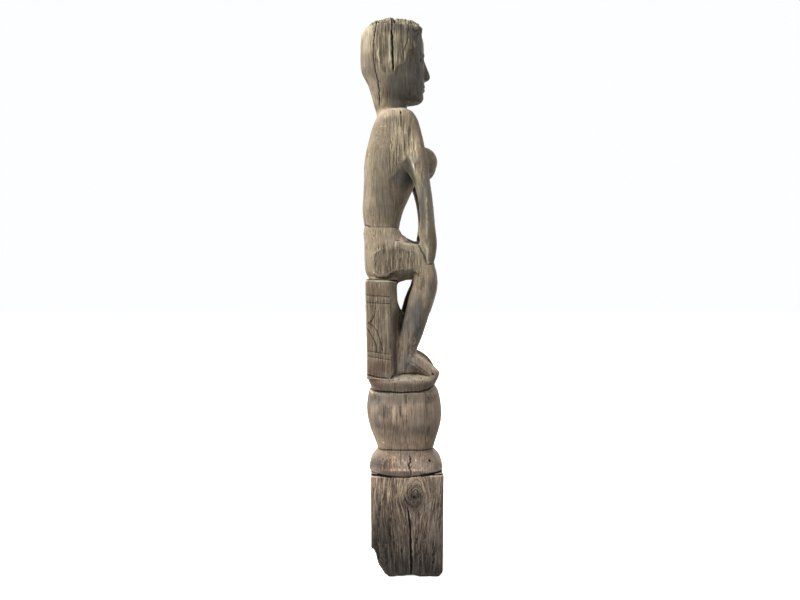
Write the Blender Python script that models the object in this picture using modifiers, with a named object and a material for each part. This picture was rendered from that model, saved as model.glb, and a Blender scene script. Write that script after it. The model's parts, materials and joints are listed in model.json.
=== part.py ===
"""Carved guardian pole: a seated figure, its seat, a footrest, a pot and a squared post, cut from one log.

Run with: blender --background --python part.py
Units are metres and +Z is up. The figure faces -Y, with its right side towards -X. The forms are laid out
around the post's axis, and the whole pole is then shifted so that the origin is at the bottom centre of its box.
"""

import math

import bmesh
import bpy
import numpy as np
from mathutils import Vector

# ---------------------------------------------------------------- driving dimensions
POST_TOP = 0.2085
POST_CORNER_RISE = 0.0110
POST_HALF = 0.0772
POST_TAPER = 0.03
POST_CUTS = 11
POST_SHIFT_Y = -0.0030
BREAK_HEIGHT = 0.0610
BREAK_INNER_Y = 0.0375

COLLAR_BOTTOM = 0.2115
COLLAR_HALF = 0.0800
POT_BOTTOM = 0.2500
POT_WAIST_HALF = 0.0604
POT_HALF = 0.0812
POT_TOP = 0.3940

FOOTREST_TOP = 0.4175
FOOTREST_HALF = 0.0745
FOOTREST_SHIFT_Y = 0.0065

SEAT_BOTTOM = 0.4130
SEAT_TOP = 0.6240
SEAT_BACK = 0.0818
SEAT_FRONT = 0.0150
SEAT_HALF_WIDTH = 0.0695
SEAT_CHAMFER = 0.0155
SEAT_LEAN = 0.018

FOOT_SPREAD = 0.0360
SHIN_SPREAD = 0.0380
ARM_SPREAD = 0.0640
LEFT_SHIN_BACK = 0.0095
LEFT_FOOT_BACK = 0.0100
LEFT_FOOT_THICKER = 0.0065
LEFT_THIGH_HIGHER = 0.0110
ARCH_DEPTH = 0.0110

SHOULDER_HALF_WIDTH = 0.0680
WAIST_HALF_WIDTH = 0.0430
HIP_HALF_WIDTH = 0.0660
BREAST_RADIUS = 0.0325

HEAD_HALF_WIDTH = 0.0540
NECK_HALF_WIDTH = 0.0315
CHIN = 1.0120
FACE_THIRD = 0.0500
CROWN = 1.1880

BOX_MIDDLE_Y = 0.0092

VOXEL = 0.0030
SMOOTH_PASSES = 3
TRIANGLES_KEPT = 0.045
RING_POINTS = 40
STEPS_BETWEEN = 5


# ---------------------------------------------------------------- small tools
def clear_scene():
    for thing in list(bpy.data.objects):
        bpy.data.objects.remove(thing, do_unlink=True)


def new_collection(name):
    collection = bpy.data.collections.new(name)
    bpy.context.scene.collection.children.link(collection)
    return collection


def station(x, y, z, depth, width, square=2.3):
    """One cross-section of a carved form: its centre, its half depth and width, and how square it is."""
    return (x, y, z, depth, width, square)


def smooth_stations(stations, steps):
    """Runs a smooth curve through the stations, so that a few sizes describe a whole form."""
    rows = np.array(stations, dtype=float)
    slopes = np.gradient(rows, axis=0)
    result = []
    for first in range(len(rows) - 1):
        for step in range(steps):
            t = step / steps
            result.append((2 * t**3 - 3 * t**2 + 1) * rows[first] + (t**3 - 2 * t**2 + t) * slopes[first]
                          + (3 * t**2 - 2 * t**3) * rows[first + 1] + (t**3 - t**2) * slopes[first + 1])
    result.append(rows[-1])
    return result


def squared_circle(angle, square):
    """A point of a unit superellipse: 2 is a circle, higher is squarer, and lower has a ridge on each side."""
    across, along = math.cos(angle), math.sin(angle)
    power = 2.0 / square
    return math.copysign(abs(across) ** power, across), math.copysign(abs(along) ** power, along)


def loft(name, stations, steps=STEPS_BETWEEN, level=False):
    """A closed form through cross-sections that stand square to its centre line, or lie level."""
    rows = smooth_stations(stations, steps)
    centres = [Vector(row[:3]) for row in rows]
    mesh = bmesh.new()
    rings = []
    for index, row in enumerate(rows):
        before = centres[max(index - 1, 0)]
        after = centres[min(index + 1, len(rows) - 1)]
        along = Vector((0, 0, 1)) if level else (after - before).normalized()
        sideways = (Vector((1, 0, 0)) - along * along.x).normalized()
        outward = along.cross(sideways)
        ring = []
        for corner in range(RING_POINTS):
            u, v = squared_circle(2 * math.pi * corner / RING_POINTS, row[5])
            ring.append(mesh.verts.new(centres[index] + sideways * (u * row[4]) + outward * (v * row[3])))
        rings.append(ring)
    for low, high in zip(rings, rings[1:]):
        for corner in range(RING_POINTS):
            following = (corner + 1) % RING_POINTS
            mesh.faces.new((low[corner], low[following], high[following], high[corner]))
    mesh.faces.new(list(reversed(rings[0])))
    mesh.faces.new(rings[-1])
    bmesh.ops.recalc_face_normals(mesh, faces=mesh.faces)
    return add_mesh(name, mesh)


def ball(name, centre, radius):
    mesh = bmesh.new()
    bmesh.ops.create_uvsphere(mesh, u_segments=32, v_segments=20, radius=radius)
    bmesh.ops.translate(mesh, vec=centre, verts=mesh.verts)
    return add_mesh(name, mesh)


def block(name, low, high):
    mesh = bmesh.new()
    bmesh.ops.create_cube(mesh, size=1.0)
    bmesh.ops.scale(mesh, vec=[b - a for a, b in zip(low, high)], verts=mesh.verts)
    bmesh.ops.translate(mesh, vec=[(a + b) / 2 for a, b in zip(low, high)], verts=mesh.verts)
    return add_mesh(name, mesh)


def add_mesh(name, mesh):
    data = bpy.data.meshes.new(name)
    mesh.to_mesh(data)
    mesh.free()
    thing = bpy.data.objects.new(name, data)
    bpy.context.scene.collection.objects.link(thing)
    return thing


def pare(thing, point, outward):
    """Takes a flat off a form, as one stroke of a knife would: all beyond the plane is cut away."""
    mesh = bmesh.new()
    mesh.from_mesh(thing.data)
    everything = mesh.verts[:] + mesh.edges[:] + mesh.faces[:]
    bmesh.ops.bisect_plane(mesh, geom=everything, plane_co=point, plane_no=outward, clear_outer=True)
    open_edges = [edge for edge in mesh.edges if edge.is_boundary]
    bmesh.ops.holes_fill(mesh, edges=open_edges, sides=0)
    mesh.to_mesh(thing.data)
    mesh.free()
    return thing


def scoop(form, centre, radii, push):
    """Presses a soft hollow into a form: the nearer to the centre, the further a point moves along push."""
    for vertex in form.data.vertices:
        away = sum(((vertex.co[axis] - centre[axis]) / radii[axis]) ** 2 for axis in range(3))
        if away < 1:
            vertex.co += Vector(push) * (1 - away) ** 2
    return form


# ---------------------------------------------------------------- the lower pole
def make_post():
    """A squared block, a little narrower at the foot, whose top is dished so that its corners stand up."""
    low = (-POST_HALF, POST_SHIFT_Y - POST_HALF, -0.012)
    high = (POST_HALF, POST_SHIFT_Y + POST_HALF, POST_TOP)
    post = block("post", low, high)
    mesh = bmesh.new()
    mesh.from_mesh(post.data)
    bmesh.ops.subdivide_edges(mesh, edges=mesh.edges, cuts=POST_CUTS, use_grid_fill=True)
    mesh.to_mesh(post.data)
    mesh.free()
    for vertex in post.data.vertices:
        across, along = vertex.co.x / POST_HALF, (vertex.co.y - POST_SHIFT_Y) / POST_HALF
        if vertex.co.z > POST_TOP - 0.001:
            vertex.co.z += POST_CORNER_RISE * abs(across * along) ** 2
        narrower = 1 - POST_TAPER * (1 - vertex.co.z / POST_TOP)
        vertex.co.x *= narrower
        vertex.co.y = POST_SHIFT_Y + along * POST_HALF * narrower
    return pare(post, (-POST_HALF, POST_SHIFT_Y - POST_HALF, 0.013), (-0.15, -0.76, -0.63))


def make_groove_core():
    """The log that shows at the bottom of the groove between the post and the collar."""
    return loft("groove_core", [station(0, -0.002, 0.195, 0.0725, 0.0725, 3.6),
                                station(0, -0.002, 0.215, 0.0725, 0.0725, 3.4)], steps=2, level=True)


def make_collar():
    levels = [(COLLAR_BOTTOM, 0.0775), (0.2150, 0.0797), (0.2205, COLLAR_HALF), (0.2280, 0.0782),
              (0.2365, 0.0742), (0.2450, 0.0664), (0.2520, 0.0600), (0.2620, 0.0560)]
    return loft("collar", [station(0, -0.001, z, half, half, 3.0) for z, half in levels], steps=3, level=True)


def make_pot():
    levels = [(POT_BOTTOM, 0.0560, 0.0560, -0.001), (0.2560, POT_WAIST_HALF, 0.0600, 0.0),
              (0.2715, 0.0632, 0.0632, 0.0), (0.2895, 0.0700, 0.0700, 0.001), (0.3070, 0.0760, 0.0760, 0.0015),
              (0.3245, 0.0799, 0.0799, 0.002), (0.3420, POT_HALF, POT_HALF, 0.003), (0.3600, 0.0804, 0.0790, 0.0035),
              (0.3740, 0.0778, 0.0730, 0.004), (0.3850, 0.0752, 0.0660, 0.0044), (POT_TOP, 0.0685, 0.0580, 0.0046)]
    return loft("pot", [station(0, y, z, deep, wide, 2.6) for z, deep, wide, y in levels], steps=3, level=True)


def make_footrest():
    levels = [(0.3780, 0.0520, 0.0590, 2.4), (0.3835, 0.0600, 0.0640, 2.5), (0.3930, 0.0675, 0.0685, 2.7),
              (0.4010, 0.0725, 0.0715, 3.0), (0.4070, FOOTREST_HALF, 0.0725, 3.4), (0.4110, 0.0746, 0.0705, 3.4),
              (0.4150, 0.0720, 0.0640, 3.2), (FOOTREST_TOP, 0.0680, 0.0550, 3.0)]
    return loft("footrest", [station(0, FOOTREST_SHIFT_Y, z, deep, wide, square)
                             for z, deep, wide, square in levels], steps=3, level=True)


# ---------------------------------------------------------------- the seat
def make_seat():
    seat = block("seat", (-SEAT_HALF_WIDTH, SEAT_FRONT, SEAT_BOTTOM), (SEAT_HALF_WIDTH, SEAT_BACK, SEAT_TOP))
    for side in (-1, 1):
        pare(seat, (side * SEAT_HALF_WIDTH, SEAT_FRONT + SEAT_CHAMFER, 0), (side, -1, 0))
    for vertex in seat.data.vertices:
        vertex.co.y += (vertex.co.z - SEAT_BOTTOM) * SEAT_LEAN
    return seat


def make_seat_web():
    """The wood left between the seat and the backs of the legs, below the opening."""
    return loft("seat_web", [station(0, 0.0100, 0.405, 0.0120, 0.030, 4.0), station(0, 0.0100, 0.500, 0.0120, 0.028, 4.0),
                             station(0, 0.0120, 0.545, 0.0090, 0.026, 4.0), station(0, 0.0165, 0.562, 0.0045, 0.024, 4.0),
                             station(0, 0.0190, 0.576, 0.0020, 0.022, 4.0)], level=True)


# ---------------------------------------------------------------- the figure
def make_torso():
    return loft("torso", [
        station(0, 0.0520, 0.730, 0.0365, WAIST_HALF_WIDTH, 2.6),
        station(0, 0.0515, 0.752, 0.0403, WAIST_HALF_WIDTH, 2.6),
        station(0, 0.0490, 0.778, 0.0453, 0.0455, 2.6),
        station(0, 0.0405, 0.812, 0.0520, 0.0520, 2.5),
        station(0, 0.0325, 0.845, 0.0585, 0.0580, 2.6),
        station(0, 0.0270, 0.872, 0.0640, 0.0620, 2.7),
        station(0, 0.0235, 0.900, 0.0635, 0.0640, 2.8),
        station(0, 0.0240, 0.926, 0.0565, 0.0660, 2.8),
        station(0, 0.0245, 0.950, 0.0495, SHOULDER_HALF_WIDTH, 2.8),
        station(0, 0.0250, 0.967, 0.0420, 0.0665, 2.8),
        station(0, 0.0255, 0.979, 0.0360, 0.0600, 2.6),
        station(0, 0.0260, 0.987, 0.0290, 0.0470, 2.4),
        station(0, 0.0270, 0.991, 0.0180, 0.0300, 2.2),
    ], level=True)


def make_breast(side):
    return ball("breast", (side * 0.0290, -0.0365, 0.8770), BREAST_RADIUS)


def make_arm(side):
    """The arm hangs from the shoulder to the knee, with a long ridge down its outer side and a leaf-shaped hand."""
    spread = side * ARM_SPREAD
    return loft("arm", [
        station(side * 0.0470, 0.0215, 0.983, 0.0230, 0.0120, 2.4),
        station(side * 0.0530, 0.0195, 0.969, 0.0370, 0.0200, 2.8),
        station(side * 0.0575, 0.0130, 0.943, 0.0435, 0.0210, 3.0),
        station(side * 0.0610, -0.0025, 0.907, 0.0375, 0.0190, 3.0),
        station(spread, -0.0205, 0.872, 0.0270, 0.0180, 2.4),
        station(spread, -0.0323, 0.837, 0.0188, 0.0180, 2.0),
        station(spread, -0.0385, 0.808, 0.0160, 0.0180, 1.9),
        station(spread, -0.0430, 0.780, 0.0156, 0.0175, 1.8),
        station(side * 0.0620, -0.0455, 0.749, 0.0160, 0.0170, 1.8),
        station(side * 0.0590, -0.0455, 0.722, 0.0192, 0.0175, 1.8),
        station(side * 0.0555, -0.0475, 0.699, 0.0198, 0.0180, 1.8),
        station(side * 0.0530, -0.0500, 0.682, 0.0160, 0.0170, 1.9),
        station(side * 0.0510, -0.0525, 0.667, 0.0105, 0.0140, 2.1),
        station(side * 0.0500, -0.0535, 0.657, 0.0040, 0.0070, 2.0),
    ])


def make_hips():
    hips = loft("hips", [
        station(0, 0.0370, 0.6210, 0.0320, 0.0540, 2.6),
        station(0, 0.0370, 0.6280, 0.0425, 0.0620, 2.7),
        station(0, 0.0385, 0.6420, 0.0490, 0.0650, 2.8),
        station(0, 0.0395, 0.6650, 0.0503, HIP_HALF_WIDTH, 2.8),
        station(0, 0.0410, 0.6900, 0.0490, 0.0640, 2.7),
        station(0, 0.0440, 0.7110, 0.0465, 0.0590, 2.6),
        station(0, 0.0500, 0.7250, 0.0425, 0.0520, 2.6),
        station(0, 0.0530, 0.7360, 0.0380, 0.0465, 2.6),
    ], level=True)
    return pare_under(hips)


def make_thigh(side):
    """The thighs meet in the lap and part towards the knees. The left one stands a little higher."""
    rise = LEFT_THIGH_HIGHER if side > 0 else 0.0
    thigh = loft("thigh", [
        station(side * 0.0340, 0.0500, 0.6650, 0.0395, 0.0330, 2.8),
        station(side * 0.0335, 0.0200, 0.6680 + rise * 0.5, 0.0440, 0.0345, 2.8),
        station(side * 0.0345, -0.0070, 0.6650 + rise, 0.0415, 0.0335, 2.8),
        station(side * 0.0365, -0.0280, 0.6595 + rise, 0.0365, 0.0300, 2.7),
        station(side * 0.0385, -0.0400, 0.6480, 0.0280, 0.0275, 2.6),
        station(side * 0.0390, -0.0475, 0.6410, 0.0220, 0.0240, 2.4),
        station(side * 0.0390, -0.0530, 0.6360, 0.0140, 0.0160, 2.2),
    ])
    return pare_under(thigh)


def pare_under(form):
    """The slanting cuts under the thighs, on each side."""
    for side in (-1, 1):
        pare(form, (side * HIP_HALF_WIDTH, 0.0200, 0.6380), (side * 0.55, -0.03, -0.83))
    return form


def make_shin(side):
    back = LEFT_SHIN_BACK if side > 0 else 0.0
    return loft("shin", [
        station(side * SHIN_SPREAD, -0.0380, 0.6680, 0.0130, 0.0200, 2.6),
        station(side * SHIN_SPREAD, -0.0400, 0.6550, 0.0200, 0.0265, 3.0),
        station(side * SHIN_SPREAD, -0.0425, 0.6330, 0.0250, 0.0275, 3.0),
        station(side * SHIN_SPREAD, -0.0415 + back * 0.4, 0.6080, 0.0268, 0.0274, 2.7),
        station(side * SHIN_SPREAD, -0.0333 + back * 0.8, 0.5800, 0.0272, 0.0270, 2.3),
        station(side * 0.0375, -0.0250 + back, 0.5500, 0.0257, 0.0260, 2.2),
        station(side * 0.0370, -0.0133 + back, 0.5100, 0.0240, 0.0240, 2.1),
        station(side * 0.0365, -0.0040 + back * 0.8, 0.4770, 0.0208, 0.0210, 2.1),
        station(side * FOOT_SPREAD, -0.0010 + back * 0.6, 0.4500, 0.0195, 0.0205, 2.3),
        station(side * FOOT_SPREAD, 0.0000 + back * 0.6, 0.4100, 0.0190, 0.0205, 2.4),
    ])


def make_foot(side):
    """A wedge with a ridge along the instep. The left foot is set back, and is thicker at the instep."""
    back = LEFT_FOOT_BACK if side > 0 else 0.0
    rise = LEFT_FOOT_THICKER if side > 0 else 0.0
    foot = loft("foot", [
        station(side * FOOT_SPREAD, 0.0140 + back, 0.4290, 0.0130, 0.0180, 2.6),
        station(side * FOOT_SPREAD, -0.0050 + back, 0.4390, 0.0275, 0.0205, 2.2),
        station(side * FOOT_SPREAD, -0.0240 + back, 0.4380 + rise * 0.5, 0.0270 + rise * 0.5, 0.0220, 1.9),
        station(side * FOOT_SPREAD, -0.0440 + back, 0.4290 + rise, 0.0190 + rise, 0.0225, 1.9),
        station(side * FOOT_SPREAD, -0.0595 + back, 0.4215 + rise * 0.6, 0.0140 + rise * 0.6, 0.0210, 2.0),
        station(side * 0.0350, -0.0680 + back, 0.4165, 0.0100, 0.0165, 2.1),
        station(side * 0.0350, -0.0706 + back, 0.4150, 0.0050, 0.0090, 2.0),
    ])
    return scoop(foot, (side * 0.0580, -0.0220 + back, 0.4190), (0.024, 0.038, 0.024), (-side * ARCH_DEPTH, 0, 0))


def make_neck():
    return loft("neck", [
        station(0, 0.0280, 0.970, 0.0360, 0.0400, 2.4),
        station(0, 0.0305, 0.990, 0.0330, NECK_HALF_WIDTH, 2.4),
        station(0, 0.0325, 1.003, 0.0360, NECK_HALF_WIDTH, 2.4),
        station(0, 0.0340, 1.015, 0.0372, 0.0330, 2.4),
        station(0, 0.0370, 1.030, 0.0380, 0.0370, 2.4),
        station(0, 0.0400, 1.050, 0.0380, 0.0400, 2.4),
    ], level=True)


def make_head():
    return loft("head", [
        station(0, 0.0020, CHIN, 0.0345, 0.0260, 2.3),
        station(0, 0.0150, 1.0200, 0.0520, 0.0360, 2.3),
        station(0, 0.0180, 1.0330, 0.0578, 0.0425, 2.3),
        station(0, 0.0200, 1.0500, 0.0612, 0.0480, 2.3),
        station(0, 0.0236, 1.0650, 0.0650, 0.0510, 2.3),
        station(0, 0.0275, 1.0800, 0.0690, 0.0530, 2.3),
        station(0, 0.0288, 1.0980, 0.0702, HEAD_HALF_WIDTH, 2.3),
        station(0, 0.0290, 1.1250, 0.0700, 0.0545, 2.3),
        station(0, 0.0292, 1.1450, 0.0692, 0.0540, 2.3),
        station(0, 0.0295, 1.1620, 0.0665, 0.0510, 2.4),
        station(0, 0.0275, 1.1730, 0.0605, 0.0470, 2.5),
        station(0, 0.0250, 1.1810, 0.0525, 0.0410, 2.6),
        station(0, 0.0235, 1.1860, 0.0455, 0.0355, 2.6),
        station(0, 0.0230, CROWN, 0.0400, 0.0310, 2.6),
    ], level=True)


def make_nose():
    """A plain straight nose that fills the middle third of the face."""
    base = CHIN + FACE_THIRD
    return loft("nose", [
        station(0, -0.0335, base + 0.95 * FACE_THIRD, 0.0060, 0.0065, 2.0),
        station(0, -0.0375, base + 0.65 * FACE_THIRD, 0.0090, 0.0070, 2.0),
        station(0, -0.0415, base + 0.35 * FACE_THIRD, 0.0110, 0.0085, 2.0),
        station(0, -0.0440, base + 0.12 * FACE_THIRD, 0.0115, 0.0105, 2.0),
        station(0, -0.0420, base, 0.0075, 0.0085, 2.0),
    ], level=True)


# ---------------------------------------------------------------- one solid
def make_wood():
    wood = bpy.data.materials.new("weathered_wood")
    wood.use_nodes = True
    shader = wood.node_tree.nodes["Principled BSDF"]
    shader.inputs["Base Color"].default_value = (0.19, 0.15, 0.11, 1.0)
    shader.inputs["Roughness"].default_value = 0.9
    shader.inputs["Metallic"].default_value = 0.0
    return wood


def join_forms(forms, name):
    """Applies each form's modifiers and gathers all of the forms in one mesh."""
    graph = bpy.context.evaluated_depsgraph_get()
    gathered = bmesh.new()
    for form in forms:
        gathered.from_mesh(bpy.data.meshes.new_from_object(form.evaluated_get(graph)))
    bmesh.ops.translate(gathered, vec=(0, -BOX_MIDDLE_Y, 0), verts=gathered.verts)
    for form in forms:
        bpy.data.objects.remove(form, do_unlink=True)
    return add_mesh(name, gathered)


def make_cutter(cutter, collection):
    bpy.context.scene.collection.objects.unlink(cutter)
    collection.objects.link(cutter)
    cutter.hide_render = True
    cutter.display_type = "WIRE"
    return cutter


def make_broken_corner():
    """What has broken away at the foot of the post's back: deep on the figure's right, nearly nothing on its left."""
    cutter = block("broken_corner", (-0.11, 0.0, -0.03), (0.11, 0.11, BREAK_HEIGHT))
    return pare(cutter, (-POST_HALF, BREAK_INNER_Y - BOX_MIDDLE_Y, 0), (0.187, -0.873, 0.453))


def cut(pole, name, cutter):
    modifier = pole.modifiers.new(name, "BOOLEAN")
    modifier.operation = "DIFFERENCE"
    modifier.solver = "EXACT"
    modifier.object = cutter


def main():
    clear_scene()
    forms = [make_post(), make_groove_core(), make_collar(), make_pot(), make_footrest(), make_seat(),
             make_seat_web(), make_torso(), make_hips(), make_neck(), make_head(), make_nose()]
    for side in (-1, 1):
        forms += [make_breast(side), make_arm(side), make_thigh(side), make_shin(side), make_foot(side)]
    bpy.context.view_layer.update()
    pole = join_forms(forms, "guardian_pole")
    pole.data.materials.append(make_wood())
    carved = new_collection("carved_guardian_pole")
    bpy.context.scene.collection.objects.unlink(pole)
    carved.objects.link(pole)
    cutters = new_collection("cutters")

    fuse = pole.modifiers.new("fuse", "REMESH")
    fuse.mode = "VOXEL"
    fuse.voxel_size = VOXEL
    soften = pole.modifiers.new("soften", "SMOOTH")
    soften.factor = 0.5
    soften.iterations = SMOOTH_PASSES
    thin = pole.modifiers.new("thin", "DECIMATE")
    thin.ratio = TRIANGLES_KEPT
    cut(pole, "broken corner", make_cutter(make_broken_corner(), cutters))
    below = block("below_ground", (-0.2, -0.2, -0.1), (0.2, 0.2, 0.0))
    cut(pole, "flat base", make_cutter(below, cutters))


main()
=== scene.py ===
import json
import math

import bpy
import numpy as np
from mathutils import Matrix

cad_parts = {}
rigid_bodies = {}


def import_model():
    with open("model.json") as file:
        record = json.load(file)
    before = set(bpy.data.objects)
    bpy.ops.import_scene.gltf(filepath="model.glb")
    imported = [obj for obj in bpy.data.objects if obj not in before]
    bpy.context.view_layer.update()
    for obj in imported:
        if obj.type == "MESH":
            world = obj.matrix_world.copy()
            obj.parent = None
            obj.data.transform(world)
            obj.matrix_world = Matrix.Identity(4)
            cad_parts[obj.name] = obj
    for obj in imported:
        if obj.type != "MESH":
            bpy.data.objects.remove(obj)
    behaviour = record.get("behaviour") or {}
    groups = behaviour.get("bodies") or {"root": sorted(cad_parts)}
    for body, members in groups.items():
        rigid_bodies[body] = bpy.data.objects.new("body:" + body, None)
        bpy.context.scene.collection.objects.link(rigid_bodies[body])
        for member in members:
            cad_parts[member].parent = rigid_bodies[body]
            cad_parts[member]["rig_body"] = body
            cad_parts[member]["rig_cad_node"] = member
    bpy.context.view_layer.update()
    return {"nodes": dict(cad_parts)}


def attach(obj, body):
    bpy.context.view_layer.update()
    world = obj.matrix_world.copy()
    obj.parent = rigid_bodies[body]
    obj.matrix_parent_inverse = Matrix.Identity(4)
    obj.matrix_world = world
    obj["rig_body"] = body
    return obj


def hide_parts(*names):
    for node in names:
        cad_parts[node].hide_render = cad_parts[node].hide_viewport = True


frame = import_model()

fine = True

# the planes that the strokes are laid out in: across, up, and the way the surface faces
planes = {
    "right": (1, 2, (-1, 0, 0)),
    "left": (1, 2, (1, 0, 0)),
    "front": (0, 2, (0, -1, 0)),
    "back": (0, 2, (0, 1, 0)),
    "top": (0, 1, (0, 0, 1)),
}
# the paints: bleach is worn and sun-bleached paleness and painted highlights; shade is dirt and painted shade
paintNames = ("bleach", "shade", "warm", "crack", "rough", "tone")


def paint(red, green, blue):
    # a colour as seen on screen, turned into the shader's own scale
    return tuple((value / 255) ** 2.2 for value in (red, green, blue)) + (1.0,)


def mm(*numbers, group=2):
    # points given in millimetres, two or three numbers for each
    metres = iter([round(number / 1000, 7) for number in numbers])
    return list(zip(*[metres] * group))


def ramp(value, low, high):
    # from 0 at low to 1 at high, soft at both ends
    part = np.clip((value - low) / (high - low), 0, 1)
    return part * part * (3 - 2 * part)


# camera, lights and floor

stageSizes = {
    "cameraPlace": (-1.541, 0.0028, 0.58),
    "lens": 31.5,
    "floorSize": 60.0,
    "floorHeight": -0.0003,
    "floorColour": paint(226, 226, 224),
    "floorGlow": 0.6,
    "skyGlow": 0.46,
    "groundGlow": 0.16,
    "glowChanges": (-0.15, 0.25),
    "suns": {  # where it shines from, strength, softness in degrees
        "keyLight": ((-0.3, 0.78, 0.72), 6.4, 60.0),
        "fillLight": ((-0.6, -0.8, 0.3), 0.45, 80.0),
        "farLight": ((0.85, -0.55, 0.3), 2.2, 50.0),
    },
    "sunColour": (1.0, 0.985, 0.96),
    "skyColour": (0.97, 0.985, 1.0, 1.0),
    "backdropColour": (0.985, 0.99, 1.0, 1.0),
}


def makeStage():
    bpy.ops.object.camera_add(location=stageSizes["cameraPlace"], rotation=(math.pi / 2, 0, -math.pi / 2))
    camera = bpy.context.object
    camera.data.lens = stageSizes["lens"]
    camera.data.sensor_width = 36.0
    camera.data.clip_end = 200.0
    bpy.context.scene.camera = camera

    for name, ((x, y, z), strength, softness) in stageSizes["suns"].items():
        bpy.ops.object.light_add(type="SUN", location=(3 * x, 3 * y, 3 * z))
        sun = bpy.context.object
        sun.name = name
        sun.rotation_euler = (math.atan2(math.hypot(x, y), z), 0, math.atan2(x, -y))
        sun.data.energy = strength
        sun.data.angle = math.radians(softness)
        sun.data.color = stageSizes["sunColour"]

    world = bpy.data.worlds.new("studio")
    bpy.context.scene.world = world
    world.use_nodes = True
    make = Nodes(world.node_tree)
    glow, backdrop = make.tree.nodes["Background"], make.add("ShaderNodeBackground")
    glow.inputs["Color"].default_value = stageSizes["skyColour"]
    backdrop.inputs["Color"].default_value = stageSizes["backdropColour"]
    height, fade = make.add("ShaderNodeSeparateXYZ"), make.add("ShaderNodeMapRange")
    make.feed(height, make.add("ShaderNodeTexCoord").outputs["Generated"])
    # brighter above the horizon than below it
    make.feed(fade, height.outputs["Z"], *stageSizes["glowChanges"], stageSizes["groundGlow"],
              stageSizes["skyGlow"])
    make.join(fade.outputs[0], glow.inputs["Strength"])
    choose = make.add("ShaderNodeMixShader")
    seen = make.add("ShaderNodeLightPath").outputs["Is Camera Ray"]
    make.feed(choose, seen, glow.outputs[0], backdrop.outputs[0])
    make.join(choose.outputs[0], make.tree.nodes["World Output"].inputs[0])

    bpy.ops.mesh.primitive_plane_add(size=stageSizes["floorSize"], location=(0, 0, stageSizes["floorHeight"]))
    floor = bpy.context.object
    floor.name = "floor"
    bpy.ops.object.transform_apply(location=True)
    cloth = bpy.data.materials.new("paleFloor")
    cloth.use_nodes = True
    for name, value in (("Base Color", stageSizes["floorColour"]), ("Roughness", 0.95),
                        ("Emission Color", (1, 1, 1, 1)), ("Emission Strength", stageSizes["floorGlow"])):
        cloth.node_tree.nodes["Principled BSDF"].inputs[name].default_value = value
    floor.data.materials.append(cloth)
    floor.visible_diffuse = False
    bpy.context.scene.view_settings.view_transform = "Standard"


# the block that the carving starts from

blockSizes = {
    "voxel": 0.0016 if fine else 0.0024,
    "softenPasses": 7,
    "groundBand": 0.0009,
    "mostTriangles": 194000,
    "keepDetail": 0.00003,
    "detailSteps": 8,
    "plainShare": 0.25,
    "leftShare": 0.45,
}


def finishWith(piece, kind, **settings):
    modifier = piece.modifiers.new(kind.lower(), kind)
    for name, value in settings.items():
        setattr(modifier, name, value)
    bpy.ops.object.modifier_apply(modifier=modifier.name)


def copyOfPole():
    # a merged copy of the pole, with its facets rounded off and an even skin to carve in
    bpy.ops.object.select_all(action="DESELECT")
    node = frame["nodes"]["guardian_pole"]
    node.select_set(True)
    bpy.context.view_layer.objects.active = node
    bpy.ops.object.duplicate()
    piece = bpy.context.view_layer.objects.active
    bpy.ops.object.parent_clear(type="CLEAR_KEEP_TRANSFORM")
    piece.name = "carvedWood"
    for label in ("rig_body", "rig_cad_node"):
        if label in piece:
            del piece[label]
    piece.data.materials.clear()
    bpy.ops.object.mode_set(mode="EDIT")
    bpy.ops.mesh.select_all(action="SELECT")
    bpy.ops.mesh.remove_doubles(threshold=0.00001)
    bpy.ops.object.mode_set(mode="OBJECT")
    finishWith(piece, "REMESH", mode="VOXEL", voxel_size=blockSizes["voxel"])
    finishWith(piece, "SMOOTH", factor=0.5, iterations=blockSizes["softenPasses"])
    print("block:", len(piece.data.vertices), "points")
    return piece


# carving tools

class Skin(dict):
    # the points being carved, where they face, and each kind of paint on them, all by name
    __getattr__ = dict.__getitem__
    __setattr__ = dict.__setitem__

    def atLeast(self, **paints):
        for name, amount in paints.items():
            self[name] = np.maximum(self[name], amount)

    def stain(self, near, part, paints):
        # brings some points up to that much paint
        for name, amount in paints.items():
            self[name][near] = np.clip(np.maximum(self[name][near], amount * part), 0, 1)

    def add(self, part, paints):
        for name, amount in paints.items():
            self[name] = self[name] + amount * part


def readMesh(items, name, kind=float, across=3):
    numbers = np.empty(len(items) * across, kind)
    items.foreach_get(name, numbers)
    return numbers.reshape(-1, across)


def startSkin(piece):
    at, out = (readMesh(piece.data.vertices, name) for name in ("co", "normal"))
    edges = readMesh(piece.data.edges, "vertices", np.int32, 2)
    skin = Skin(at=at, out=out, edges=edges, push=np.zeros(len(at)))
    skin.touching = np.maximum(np.bincount(edges.ravel(), minlength=len(at)), 1)
    for name in paintNames:
        skin[name] = np.zeros(len(at))
    return skin


def spread(skin, values, passes=1):
    # each point takes the mean of its neighbours
    first, second = skin.edges.T
    for _ in range(passes):
        near = np.bincount(first, values[second], len(values)) + np.bincount(second, values[first], len(values))
        values = 0.5 * values + 0.5 * near / skin.touching
    return values


def settle(skin):
    # moves the points by what has been carved so far
    skin.at += skin.out * skin.push[:, None]
    skin.push[:] = 0


def refreshNormals(skin, piece):
    piece.data.vertices.foreach_set("co", skin.at.ravel())
    piece.data.update()
    skin.out = readMesh(piece.data.vertices, "normal")


def lattice(cells, seed):
    # a steady number from 0 to 1 for each cell, stirred out of its place
    mixed = (cells[:, 0] * 73856093) ^ (cells[:, 1] * 19349663) ^ (cells[:, 2] * 83492791) ^ (seed * 26544357)
    mixed &= 0xFFFFFFFF
    mixed = ((mixed ^ (mixed >> 13)) * 1274126177) & 0xFFFFFFFF
    mixed = ((mixed ^ (mixed >> 15)) * 668265263) & 0xFFFFFFFF
    return ((mixed ^ (mixed >> 16)) & 0xFFFF) / 65535.0


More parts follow.
